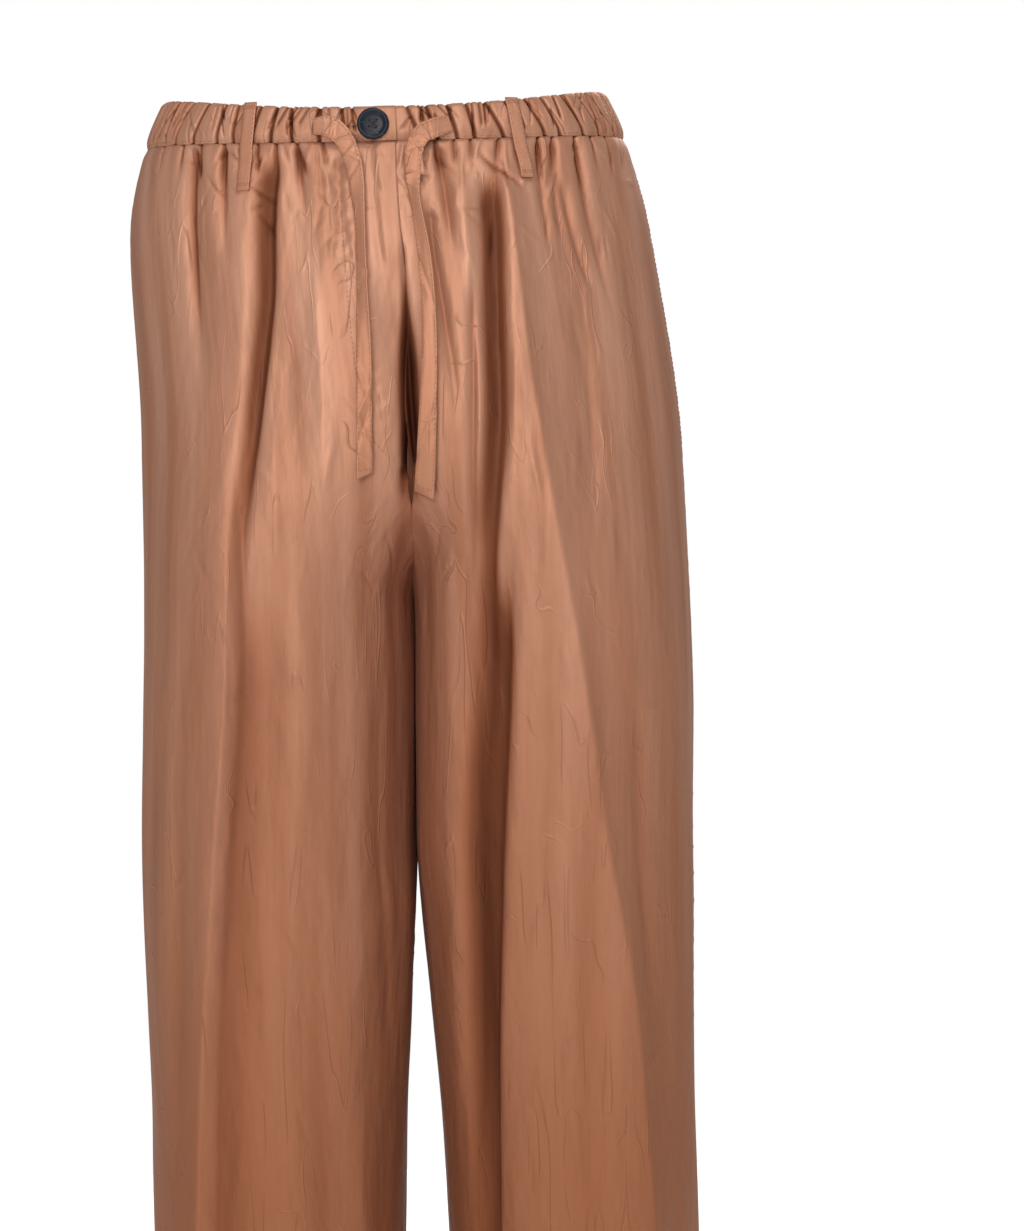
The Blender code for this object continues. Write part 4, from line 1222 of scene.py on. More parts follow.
def satin_group(pattern: SatinPattern = SatinPattern()) -> bpy.types.NodeTree:
    """Shared effect: streaks, slubs and press creases of hanging satin, with painted fold shade, a
    painted light falloff down the legs and painted sheen bands.

    Args:
        pattern: Scales and strengths of the marks.

    Returns:
        The node group, with colour, roughness and height outputs.
    """
    name = "SatinSurface"
    if name in bpy.data.node_groups:
        return bpy.data.node_groups[name]
    tree = bpy.data.node_groups.new(name, "ShaderNodeTree")
    board = NodeBoard(tree)
    for label, way, kind in (
        ("Cloth", "INPUT", "Vector"), ("Place", "INPUT", "Vector"), ("Groove", "INPUT", "Float"),
        ("Light", "INPUT", "Color"), ("Deep", "INPUT", "Color"), ("Low", "INPUT", "Color"),
        ("Shade", "INPUT", "Color"), ("Color", "OUTPUT", "Color"),
        ("Roughness", "OUTPUT", "Float"), ("Height", "OUTPUT", "Float"),
    ):
        tree.interface.new_socket(label, in_out=way, socket_type=f"NodeSocket{kind}")
    into = board.add("NodeGroupInput")
    out = board.add("NodeGroupOutput")
    cloth, place = into.outputs["Cloth"], into.outputs["Place"]
    streak = board.noise(cloth, pattern.streak, 3.0)
    slub = board.noise(cloth, pattern.slub, 2.0)
    cloud = board.noise(place, pattern.cloud, 3.0)
    painted_sheen = board.noise(cloth, pattern.painted_sheen, 4.0)
    split = board.add("ShaderNodeSeparateXYZ")
    board.link(place, split.inputs[0])
    uneven = board.band_pass(cloud, 0.35, 0.7, 0.0, 1.0)
    uneven = board.maths("MULTIPLY", uneven, pattern.cloud_share)
    groove = into.outputs["Groove"]
    toned = into.outputs["Light"]
    # Painted light and shade in the colour: darker and redder towards the hem for the light's
    # falloff, random tone, painted sheen bands, painted fold shade in two steps, fibre streaks.
    for share, tone in (
        (board.band_pass(split.outputs["Z"], pattern.shade_falloff_top, pattern.tone_low, 0.0, 1.0), "Low"),
        (uneven, "Low"),
        (board.band_pass(painted_sheen, 0.38, 0.66, 0.0, pattern.painted_sheen_share), "Low"),
        (board.band_pass(groove, 0.0, 0.45, 0.0, pattern.shade_share), "Shade"),
        (board.band_pass(groove, 0.15, 1.0, 0.0, 1.0), "Deep"),
        (board.band_pass(streak, 0.3, 0.75, 0.0, pattern.fibre_share), "Deep"),
    ):
        toned = board.blend(share, toned, into.outputs[tone])
    board.link(toned, out.inputs["Color"])
    grain = board.maths("MULTIPLY", streak, 0.06)
    rough = board.maths("ADD", board.band_pass(cloud, 0.3, 0.7, 0.44, 0.54), grain)
    board.link(rough, out.inputs["Roughness"])
    steep = board.crease_lines(place, pattern.steep_crease, pattern.steep_width)
    slant = board.crease_lines(place, pattern.slant_crease, pattern.slant_width)
    on_steep = board.band_pass(board.noise(place, pattern.steep_patch, 1.0), 0.50, 0.62, 0.0, 0.34)
    on_slant = board.band_pass(board.noise(place, pattern.slant_patch, 1.0), 0.58, 0.68, 0.0, 0.36)
    height = board.maths("MULTIPLY", steep, on_steep)
    height = board.maths("ADD", height, board.maths("MULTIPLY", slant, on_slant))
    for mark, strength in (
        (board.noise(place, pattern.swell, 2.0), pattern.swell_height),
        (board.noise(place, pattern.crumple, 2.0), pattern.crumple_height),
        (streak, 0.06),
        (slub, 0.04),
    ):
        height = board.maths("ADD", height, board.maths("MULTIPLY", mark, strength))
    board.link(height, out.inputs["Height"])
    return tree


@dataclass(frozen=True)
class SatinFinish:
    """Copper satin: soft gloss with a paler sheen at grazing angles."""

    name: str
    # light is the cloth's colour; low is darker, for the painted light falloff, painted sheen bands
    # and random tone; shade and deep are painted fold shade, and deep also tints fibre streaks.
    light: tuple
    low: tuple
    deep: tuple
    shade: tuple = (0.30, 0.095, 0.04)
    bump: float = 0.5
    bump_reach: float = 0.0022

    def make(self) -> bpy.types.Material:
        """Build the material.

        Returns:
            The material.
        """
        material, board, shader, coords = new_finish(self.name)
        # The stored painted fold shade mask darkens the colour in folds.
        groove = board.add("ShaderNodeAttribute", attribute_name="groove")
        group = board.add("ShaderNodeGroup", node_tree=satin_group())
        board.fill(group, {
            "Cloth": coords.outputs["UV"], "Place": coords.outputs["Object"],
            "Groove": groove.outputs["Fac"], "Light": rgba(self.light), "Low": rgba(self.low),
            "Deep": rgba(self.deep), "Shade": rgba(self.shade),
        })
        bump = board.add("ShaderNodeBump")
        height = group.outputs["Height"]
        board.fill(bump, {"Strength": self.bump, "Distance": self.bump_reach, "Height": height})
        board.fill(shader, {
            "Base Color": group.outputs["Color"], "Roughness": group.outputs["Roughness"],
            "Normal": bump.outputs["Normal"], "Metallic": 0.34, "Specular IOR Level": 0.16,
            "Specular Tint": (1.0, 0.80, 0.70, 1.0), "Sheen Weight": 0.02,
            "Sheen Roughness": 0.35, "Sheen Tint": (1.0, 0.78, 0.70, 1.0),
        })
        return material


@dataclass(frozen=True)
class ThreadFinish:
    """Twisted sewing thread."""

    name: str
    colour: tuple

    def make(self) -> bpy.types.Material:
        """Build the material.

        Returns:
            The material.
        """
        material, board, shader, coords = new_finish(self.name)
        twist = board.noise(coords.outputs["Object"], (1400.0, 1400.0, 1400.0), 1.0)
        dark = tuple(0.55 * part for part in self.colour)
        colour = board.blend(twist, rgba(dark), rgba(self.colour))
        board.fill(shader, {"Base Color": colour, "Roughness": 0.55})
        return material


@dataclass(frozen=True)
class ResinFinish:
    """Polished dark resin with a faint greenish glint."""

    name: str
    dark: tuple
    glint: tuple

    def make(self) -> bpy.types.Material:
        """Build the material.

        Returns:
            The material.
        """
        material, board, shader, coords = new_finish(self.name)
        swirl = board.noise(coords.outputs["Object"], (220.0, 220.0, 620.0), 4.0)
        share = board.band_pass(swirl, 0.58, 0.8, 0.0, 0.45)
        board.fill(shader, {
            "Base Color": board.blend(share, rgba(self.dark), rgba(self.glint)),
            "Roughness": board.band_pass(swirl, 0.3, 0.8, 0.38, 0.50),
            "Specular IOR Level": 0.22, "Coat Roughness": 0.25, "Coat Weight": 0.06,
        })
        return material


@dataclass
class Finishes:
    """All finishes of the trousers, made once."""

    satin: bpy.types.Material = None
    tie: bpy.types.Material = None
    pocket: bpy.types.Material = None
    thread: bpy.types.Material = None
    dark_thread: bpy.types.Material = None
    resin: bpy.types.Material = None
    # shade is the painted shadow inside the slits.
    shade: bpy.types.Material = None

    def __post_init__(self) -> None:
        """Make the materials."""
        # low, deep and the tie's darker colour carry a painted light falloff, painted sheen bands
        # and painted fold shade as well as random tone.
        light, low, deep = (0.58, 0.302, 0.200), (0.335, 0.128, 0.063), (0.040, 0.008, 0.003)
        self.satin = SatinFinish("copper_satin", light, low, deep).make()
        tie_light, tie_shade_and_tone = (0.58, 0.29, 0.185), (0.40, 0.16, 0.085)
        self.tie = SatinFinish("tie_satin", tie_light, tie_shade_and_tone, deep, bump=0.4).make()
        self.pocket = SatinFinish("pocket_satin", (0.50, 0.25, 0.16), low, deep, bump=0.3).make()
        self.thread = ThreadFinish("copper_thread", (0.36, 0.16, 0.09)).make()
        self.dark_thread = ThreadFinish("dark_thread", (0.03, 0.03, 0.035)).make()
        self.resin = ResinFinish("navy_resin", (0.008, 0.011, 0.020), (0.10, 0.14, 0.06)).make()
        # Painted shadow: a dark thread-like finish for the strands inside the slits.
        self.shade = ThreadFinish("slot_shade", (0.10, 0.035, 0.02)).make()


def finish_piece(
    obj: bpy.types.Object, material: bpy.types.Material, nodes: Sequence[str],
) -> None:
    """Dress a piece and hand it to the frame.

    Args:
        obj: The piece.
        material: Its material.
        nodes: The CAD nodes that it stands for.
    """
    obj.data.materials.clear()
    obj.data.materials.append(material)
    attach(obj, "root")
    if nodes:
        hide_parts(*nodes)
    LOG.info("%s: %d faces", obj.name, len(obj.data.polygons))


def object_from(name: str, bm: bmesh.types.BMesh) -> bpy.types.Object:
    """Turn a bmesh into a smooth object at the origin.

    Args:
        name: The object's name.
        bm: The mesh, freed here.

    Returns:
        The object.
    """
    mesh = bpy.data.meshes.new(name)
    bm.to_mesh(mesh)
    bm.free()
    mesh.shade_smooth()
    obj = bpy.data.objects.new(name, mesh)
    bpy.context.scene.collection.objects.link(obj)
    return obj


@dataclass
class ClothSheet:
    """A sheet of cloth: a grid laid on the form, with a Solidify wall."""

    name: str
    columns: int
    rows: int
    thickness: float
    # place gives a row's points, cloth lengths and the depth of painted fold shade.
    place: Callable[[int, np.ndarray], tuple]
    groove_start: float = 1.1
    groove_depth: float = 9.0
    area: float = 0.0
    width: float = 0.0
    length: float = 0.0

    def build(self) -> bpy.types.Object:
        """Lay the grid, store its painted fold shade mask and give it its wall.

        Returns:
            The object.
        """
        bm = bmesh.new()
        bmesh.ops.create_grid(
            bm, x_segments=self.columns, y_segments=self.rows, size=1.0, calc_uvs=True,
        )
        obj = object_from(self.name, bm)
        mesh = obj.data
        count = len(mesh.vertices)
        flat = np.empty(count * 3)
        mesh.vertices.foreach_get("co", flat)
        flat = flat.reshape(-1, 3)
        row = np.rint((1.0 - flat[:, 1]) * 0.5 * self.rows).astype(int)
        column = np.rint((flat[:, 0] + 1.0) * 0.5 * self.columns).astype(int)
        shares = np.linspace(0.0, 1.0, self.columns + 1)
        points = np.zeros((self.rows + 1, self.columns + 1, 3))
        arcs = np.zeros((self.rows + 1, self.columns + 1))
        shade_depths = np.zeros((self.rows + 1, self.columns + 1))
        for index in range(self.rows + 1):
            points[index], arcs[index], shade_depths[index] = self.place(index, shares)
        mesh.vertices.foreach_set("co", points[row, column].ravel())
        self.measure(points)
        self.lay_cloth(mesh, points, arcs, row, column)
        # Painted shade: the hollow depth becomes a 0 to 1 mask that darkens the satin colour in
        # folds, gathers and creases.
        groove = mesh.attributes.new("groove", "FLOAT", "POINT")
        near = np.clip(-(shade_depths + self.groove_start) / self.groove_depth, 0.0, 1.0)
        groove.data.foreach_set("value", near[row, column].ravel())
        self.face_out(mesh)
        mesh.update()
        wall = obj.modifiers.new("wall", "SOLIDIFY")
        wall.thickness = self.thickness * MM
        wall.offset = -1.0
        return obj

    def measure(self, points: np.ndarray) -> None:
        """Work out the sheet's own area and longest row and column.

        Args:
            points: The grid in metres.
        """
        across = np.diff(points, axis=1)
        down = np.diff(points, axis=0)
        self.width = float(np.linalg.norm(across, axis=2).sum(axis=1).max())
        self.length = float(np.linalg.norm(down, axis=2).sum(axis=0).max())
        cells = np.cross(across[:-1], down[:, :-1])
        self.area = float(np.linalg.norm(cells, axis=2).sum())

    def lay_cloth(
        self, mesh: bpy.types.Mesh, points: np.ndarray, arcs: np.ndarray, row: np.ndarray,
        column: np.ndarray,
    ) -> None:
        """Set the UV map to the cloth's own metres.

        Args:
            mesh: The mesh.
            points: The grid in metres.
            arcs: Cloth lengths in metres.
            row: Each vertex's row.
            column: Each vertex's column.
        """
        corner = np.empty(len(mesh.loops), dtype=int)
        mesh.loops.foreach_get("vertex_index", corner)
        u = arcs[row, column][corner]
        v = points[row, column, 2][corner]
        layer = mesh.uv_layers.active or mesh.uv_layers.new(name="cloth")
        layer.data.foreach_set("uv", np.stack([u, v], axis=-1).ravel())

    def face_out(self, mesh: bpy.types.Mesh) -> None:
        """Turn the faces outwards, away from the garment's middle line.

        Args:
            mesh: The mesh.
        """
        mesh.update()
        total = 0.0
        for index in range(0, len(mesh.polygons), max(1, len(mesh.polygons) // 400)):
            polygon = mesh.polygons[index]
            total += self.outward(Vector(polygon.center)).dot(Vector(polygon.normal))
        if total < 0.0:
            mesh.flip_normals()

    def outward(self, point: Vector) -> Vector:
        """Rough outward direction at a point of a leg or of the hip."""
        z = point.z / MM
        lean = float(along(DRIFTS, "lean", z)) * MM
        middle = 0.5 * float(along(LEVELS, "side", z) + along(LEVELS, "inner", z)) * MM
        centre = lean + math.copysign(max(middle, 0.0), point.x - lean)
        return Vector((point.x - centre, point.y, 0.0)).normalized()


@dataclass
class Stitching:
    """Rows of small stitches: one template, repeated by an Array modifier and laid in place."""

    name: str
    stitch: float = 1.9
    pitch: float = 2.9
    radius: float = 0.17
    spans: list = field(default_factory=list)

    def run(self, line: Sequence[Vector]) -> None:
        """Sew one line.

        Args:
            line: Points just on the cloth, in metres.
        """
        spots = np.array([list(point) for point in line])
        lengths = run_lengths(spots)
        step = self.pitch * MM
        for mark in np.arange(0.5 * step, lengths[-1], step):
            ends = []
            for offset in (-0.5, 0.5):
                at = np.clip(mark + offset * self.stitch * MM, 0.0, lengths[-1])
                ends.append([np.interp(at, lengths, spots[:, axis]) for axis in range(3)])
            self.spans.append((ends[0], ends[1], self.radius * MM))

    def single(self, start: Vector, end: Vector) -> None:
        """Sew one stitch between two points in metres.

        Args:
            start: Its start.
            end: Its end.
        """
        if (end - start).length > 1e-5:
            self.spans.append((list(start), list(end), self.radius * MM))

    def copies(self, count: int) -> bpy.types.Mesh:
        """Repeat the template stitch.

        Args:
            count: How many stitches.

        Returns:
            One mesh that holds them all, each still at the origin.
        """
        bm = bmesh.new()
        bmesh.ops.create_uvsphere(bm, u_segments=6, v_segments=5, radius=1.0)
        template = object_from("stitch_template", bm)
        array = template.modifiers.new("repeat", "ARRAY")
        array.count = count
        array.use_relative_offset = False
        graph = bpy.context.evaluated_depsgraph_get()
        mesh = bpy.data.meshes.new_from_object(template.evaluated_get(graph))
        bpy.data.objects.remove(template, do_unlink=True)
        return mesh

    def finish(self, material: bpy.types.Material) -> bpy.types.Object:
        """Lay every stitch in its place and dress the mesh.

        Args:
            material: The thread.

        Returns:
            The object.
        """
        starts = np.array([span[0] for span in self.spans])
        ends = np.array([span[1] for span in self.spans])
        radii = np.array([span[2] for span in self.spans])
        mesh = self.copies(len(self.spans))
        shape = np.empty(len(mesh.vertices) * 3)
        mesh.vertices.foreach_get("co", shape)
        shape = shape.reshape(len(self.spans), -1, 3)
        run = ends - starts
        size = np.linalg.norm(run, axis=1, keepdims=True)
        forward = run / size
        x_axis, _, z_axis = np.eye(3)
        right = np.cross(np.where(np.abs(forward[:, 2:3]) > 0.8, x_axis, z_axis), forward)
        right = right / np.linalg.norm(right, axis=1, keepdims=True)
        up = np.cross(forward, right)
        across = radii[:, None, None] * (
            shape[:, :, 0:1] * right[:, None, :] + shape[:, :, 1:2] * up[:, None, :]
        )
        along_run = 0.5 * size[:, None, :] * shape[:, :, 2:3] * forward[:, None, :]
        placed = 0.5 * (starts + ends)[:, None, :] + across + along_run
        mesh.vertices.foreach_set("co", placed.ravel())
        mesh.name = self.name
        mesh.update()
        obj = bpy.data.objects.new(self.name, mesh)
        bpy.context.scene.collection.objects.link(obj)
        finish_piece(obj, material, ())
        LOG.info("%s: %d stitches", self.name, len(self.spans))
        return obj


ROW_BREAKS = (-30.0, -110.0, -262.0, -290.0, -600.0, -1020.0)
ROW_COUNTS = {Face.FRONT: (46, 56, 20, 80, 44), Face.BACK: (38, 42, 16, 58, 36)}


@dataclass
class Panel:
    """One front or back with its leg."""

    form: TrouserForm
    half: Half
    face: Face
    thickness: float = 0.9
    front_columns: int = 200
    back_columns: int = 150

    @property
    def name(self) -> str:
        """The piece's name."""
        return f"satin_{self.face.name.lower()}_{self.half.name.lower()}"

    def levels(self) -> np.ndarray:
        """Row heights: close under the band and at the crotch, wider down the leg.

        Returns:
            Heights, highest first.
        """
        counts = ROW_COUNTS[self.face]
        spans = zip(ROW_BREAKS[:-1], ROW_BREAKS[1:], counts)
        rows = [np.linspace(start, end, count + 1)[:-1] for start, end, count in spans]
        return np.concatenate(rows + [np.array(ROW_BREAKS[-1:])])

    def build(self, finishes: Finishes) -> bpy.types.Object:
        """Args:
            finishes: The finishes.

        Returns:
            The object.
        """
        levels = self.levels()

        def place(row: int, shares: np.ndarray) -> tuple:
            """Row of the panel."""
            return self.form.panel_row(self.half, self.face, float(levels[row]), shares, 0.0)

        columns = self.front_columns if self.face is Face.FRONT else self.back_columns
        sheet = ClothSheet(self.name, columns, len(levels) - 1, self.thickness, place)
        obj = sheet.build()
        node = f"{self.face.name.lower()}_{self.half.name.lower()}"
        finish_piece(obj, finishes.satin, (node,))
        return obj

    def edge_line(self, start: float, end: float, inset: float, count: int) -> list:
        """Points along the side seam, a little way in from it.

        Args:
            start: Upper height.
            end: Lower height.
            inset: Distance from the seam in millimetres.
            count: Number of points.

        Returns:
            Points in metres.
        """
        line = []
        for level in np.linspace(start, end, count).tolist():
            edge = self.form.centre_edge(self.half, self.face, level)
            cut = self.form.section(self.face, level, edge)
            beyond = cut.arc[-1] - float(np.interp(self.form.anchor_x, cut.x, cut.arc))
            share = np.array([1.0 - (1.0 - self.form.anchor_share) * inset / beyond])
            points = self.form.panel_row(self.half, self.face, level, share, -THREAD_LIFT)[0]
            line.append(Vector(points[0]))
        return line

    def hem_line(self, height: float, count: int) -> list:
        """Points round the leg just above the hem.

        Args:
            height: Distance above the hem in millimetres.
            count: Number of points.

        Returns:
            Points in metres.
        """
        shares = np.linspace(0.003, 0.997, count)
        level = self.form.hem_z + height
        points = self.form.panel_row(self.half, self.face, level, shares, -THREAD_LIFT)[0]
        return [Vector(point) for point in points]


@dataclass
class Waistband:
    """One half of the elastic band."""

    form: TrouserForm
    half: Half
    columns: int = 600
    rows: int = 26
    thickness: float = 1.6

    def build(self, finishes: Finishes) -> bpy.types.Object:
        """Args:
            finishes: The finishes.

        Returns:
            The object.
        """
        def place(row: int, shares: np.ndarray) -> tuple:
            """Row of the band, rolled in at its upper edge."""
            share_up = (row / self.rows) ** 1.15
            roll = 1.3 * max(0.0, 1.0 - share_up / 0.09) ** 2
            return self.form.band_row(self.half, share_up, shares, roll)

        name = f"satin_band_{self.half.name.lower()}"
        sheet = ClothSheet(name, self.columns, self.rows, self.thickness, place)
        obj = sheet.build()
        finish_piece(obj, finishes.satin, (f"waistband_{self.half.name.lower()}",))
        return obj

    def seam_line(self, drop: float, count: int) -> list:
        """Points of the stitch line above the band's lower seam.

        Args:
            drop: Share of the band's height from its top.
            count: Number of points.

        Returns:
            Points in metres.
        """
        shares = np.linspace(0.004, 0.996, count)
        points = self.form.band_row(self.half, drop, shares, -THREAD_LIFT)[0]
        return [Vector(point) for point in points]


@dataclass
class PocketPiece:
    """The pocket piece inside a front."""

    form: TrouserForm
    half: Half
    top: float = -62.0
    low: float = -176.0
    first_share: float = 0.735
    last_share: float = 0.975

    def build(self, finishes: Finishes) -> bpy.types.Object:
        """Args:
            finishes: The finishes.

        Returns:
            The object.
        """
        levels = np.linspace(self.top, self.low, 61)

        def place(row: int, shares: np.ndarray) -> tuple:
            """Row of the pocket piece, behind the front."""
            own = self.first_share + (self.last_share - self.first_share) * shares
            return self.form.panel_row(self.half, Face.FRONT, float(levels[row]), own, 1.7)

        name = f"satin_pocket_{self.half.name.lower()}"
        sheet = ClothSheet(name, 36, 60, 0.8, place)
        obj = sheet.build()
        finish_piece(obj, finishes.pocket, (f"pocket_{self.half.name.lower()}",))
        return obj


@dataclass
class BeltLoop:
    """A flat sewn belt loop."""

    form: TrouserForm
    name: str
    face: Face
    x_top: float
    z_top: float
    x_low: float
    z_low: float
    width: float = 7.8
    clear: float = 0.45
    cloth: float = 1.0
    rows: int = 40
    columns: int = 10
    looks: int = 9
    reach: float = 5.0

    def spot(self, t: float) -> tuple:
        """World x and height at a place along the loop."""
        x = self.x_top + (self.x_low - self.x_top) * t
        return x, self.z_top + (self.z_low - self.z_top) * t

    def stations(self) -> list:
        """Base point, outward direction and lift along the loop.

        Returns:
            One entry a row.
        """
        places = np.linspace(0, 1, self.looks)
        coarse = []
        for t in places.tolist():
            coarse.append(self.form.outer_skin(*self.spot(t), self.face, self.reach)[2])
        lifted = [max(coarse[max(i - 1, 0):i + 2]) for i in range(self.looks)]
        made = []
        for row in range(self.rows + 1):
            t = row / self.rows
            base, out, _ = self.form.skin(*self.spot(t), self.face)
            lift = float(np.interp(t, places, lifted))
            sewn = math.exp(-((t / 0.06) ** 2)) + math.exp(-(((1.0 - t) / 0.07) ** 2))
            made.append((base, out, lift + self.clear + self.cloth - 0.45 * sewn))
        return made

    def build(self, finishes: Finishes, sewing: Stitching) -> bpy.types.Object:
        """Build and dress the loop and sew its edges.

        Args:
            finishes: The finishes.
            sewing: The stitches to add to.

        Returns:
            The object.
        """
        stations = self.stations()

        def point(row: int, share: float, lift: float) -> Vector:
            """Point of the loop in metres."""
            base, out, height = stations[row]
            across = Vector((0.0, 0.0, 1.0)).cross(out)
            crown = 0.30 * (1.0 - abs(2.0 * share - 1.0) ** 4)
            sideways = across * ((share - 0.5) * self.width)
            return (base + out * (height + crown + lift) + sideways) * MM

        def place(row: int, shares: np.ndarray) -> tuple:
            """Row of the loop."""
            points = np.array([list(point(row, float(share), 0.0)) for share in shares])
            # The third value paints fold shade along the loop's rolled edges.
            edge = np.abs(2.0 * shares - 1.0) > 0.9
            return points, shares * self.width * MM, np.where(edge, -1.6, 0.0)

        sheet = ClothSheet(f"satin_{self.name}", self.columns, self.rows, self.cloth, place)
        obj = sheet.build()
        finish_piece(obj, finishes.tie, (self.name,))
        for share in (0.13, 0.87):
            sewing.run([point(row, share, THREAD_LIFT) for row in range(self.rows + 1)])
        tack_rise = Vector((0.0, 0.0, 0.6 * MM))
        for row in (2, 3, self.rows - 3, self.rows - 2):
            for share in np.linspace(0.08, 0.92, 9).tolist():
                end = point(row, share + 0.07, THREAD_LIFT) + tack_rise
                sewing.single(point(row, share, THREAD_LIFT), end)
        return obj


class TiePoint(NamedTuple):
    """One point of a tie's route, in millimetres and degrees."""

    x: float
    z: float
    clear: float
    width: float
    turn: float


@dataclass
class Tie:
    """A flat sewn drawstring end."""

    form: TrouserForm
    name: str
    node: str
    route: tuple
    slant: float
    seed: int
    steps: int = 170
    cloth: float = 0.9
    crease_count: int = 16
    crease_span: float = 220.0
    looks: int = 31
    reach: float = 5.0
    creases: list = field(default_factory=list)

    def __post_init__(self) -> None:
        """Draw the slanting creases: place along, slope, height."""
        source = random.Random(self.seed)
        for _ in range(self.crease_count):
            place = source.uniform(0.10, 0.98)
            slope = source.choice((-1.0, 1.0)) * source.uniform(0.5, 2.2)
            rise = source.choice((-1.0, 1.0)) * source.uniform(0.4, 0.85)
            self.creases.append((place, slope, rise))

    def crease_lift(self, t: float, share: float) -> float:
        """Height of the creases and the rolled edges.

        Args:
            t: Place along the tie.
            share: Place across the tie.

        Returns:
            The height in millimetres.
        """
        lift = 0.45 * abs(2.0 * share - 1.0) ** 3 * math.sin(13.0 * t + 4.0 * share)
        for place, slope, rise in self.creases:
            off = (t - place) * self.crease_span - slope * (share - 0.5) * TIE_CLOTH_WIDTH
            lift += rise * math.exp(-((off / 1.7) ** 2))
        return lift

    def column(self, name: str, t: np.ndarray) -> np.ndarray:
        """Read a column of the route as a smooth curve.

        Args:
            name: The column's name.
            t: Places along the route's points.

        Returns:
            Its values.
        """
        values = np.array([getattr(point, name) for point in self.route])
        place = np.clip(t.astype(int), 0, len(self.route) - 2)
        near = np.clip(np.stack([place - 1, place, place + 1, place + 2]), 0, len(self.route) - 1)
        a, b, c, d = values[near]
        s = t - place
        return 0.5 * (2 * b + (c - a) * s + (2 * a - 5 * b + 4 * c - d) * s ** 2
                      + (3 * b - a - 3 * c + d) * s ** 3)

    def stations(self) -> list:
        """Centre, sideways and outward directions and width along the tie.

        Returns:
            One entry a step.
        """
        coarse = np.linspace(0.0, len(self.route) - 1.0, self.looks)
        depths = []
        columns = [self.column(name, coarse).tolist() for name in ("x", "z", "clear")]
        for x, z, clear in zip(*columns):
            base, out, height = self.form.outer_skin(x, z, Face.FRONT, self.reach)
            depths.append((base + out * (height + clear)).y)
        depths = np.array(depths)
        for _ in range(3):
            mean = (depths[:-2] + depths[1:-1] + depths[2:]) / 3.0
            depths[1:-1] = np.minimum(depths[1:-1], mean)
        fine = np.linspace(0.0, len(self.route) - 1.0, self.steps + 1)
        xs, zs = self.column("x", fine), self.column("z", fine)
        ys = np.interp(fine, coarse, depths)
        for _ in range(4):
            ys[1:-1] = (ys[:-2] + ys[1:-1] + ys[2:]) / 3.0
        spots = [Vector((float(x), float(y), float(z))) for x, y, z in zip(xs, ys, zs)]
        widths, turns = self.column("width", fine), self.column("turn", fine)
        made = []
        for index, spot in enumerate(spots):
            out = self.form.skin(spot.x, spot.z, Face.FRONT)[1]
            forward = (spots[min(index + 1, self.steps)] - spots[max(index - 1, 0)]).normalized()
            across = out.cross(forward).normalized()
            outward = forward.cross(across).normalized()
            angle = math.radians(float(turns[index]))
            wide = across * math.cos(angle) + outward * math.sin(angle)
            thick = outward * math.cos(angle) - across * math.sin(angle)
            made.append((spot, wide, thick, float(widths[index])))
        return made

    def build(
        self, finishes: Finishes, sewing: Stitching, folds: Sequence = (),
    ) -> bpy.types.Object:
        """Args:
            finishes: The finishes.
            sewing: The stitches to add to.
            folds: Pieces folded out of the tie; not used.

        Returns:
            The object.
        """
        stations = self.stations()

        def point(row: int, share: float, lift: float) -> Vector:
            """Point of the tie in metres."""
            centre, wide, thick, width = stations[row]
            rise = math.sin(math.radians(40.0)) * 0.5 * width * 0.35 + 1.0
            t = row / self.steps
            curl = self.crease_lift(t, share) * min(1.0, 6.0 * t)
            end = max(0.0, (row - self.steps + 4) / 4.0)
            drop = Vector((0.0, 0.0, self.slant * end * (share - 0.5)))
            spot = centre + wide * ((share - 0.5) * width) + thick * (rise + curl + lift) + drop
            return spot * MM

        def place(row: int, shares: np.ndarray) -> tuple:
            """Row of the tie."""
            points = np.array([list(point(row, float(share), 0.0)) for share in shares])
            # The third value paints fold shade along the tie's rolled edges.
            edge = np.abs(2.0 * shares - 1.0) > 0.88
            return points, shares * TIE_CLOTH_WIDTH * MM, np.where(edge, -1.4, 0.0)

        sheet = ClothSheet(self.name, 12, self.steps, self.cloth, place)
        obj = sheet.build()
        finish_piece(obj, finishes.tie, (self.node,))
        path = [tuple(point(row, 0.5, -0.5 * self.cloth)) for row in range(0, self.steps + 1, 2)]
        spots = np.array(path)
        length = float(np.linalg.norm(np.diff(spots, axis=0), axis=1).sum())
        for share in (0.11, 0.89):
            sewing.run([point(row, share, 0.04) for row in range(3, self.steps - 1)])
        across_end = np.linspace(0.1, 0.9, 9).tolist()
        sewing.run([point(self.steps - 3, share, 0.04) for share in across_end])
        LOG.info("%s: %.0f mm long", self.name, length / MM)
        return obj


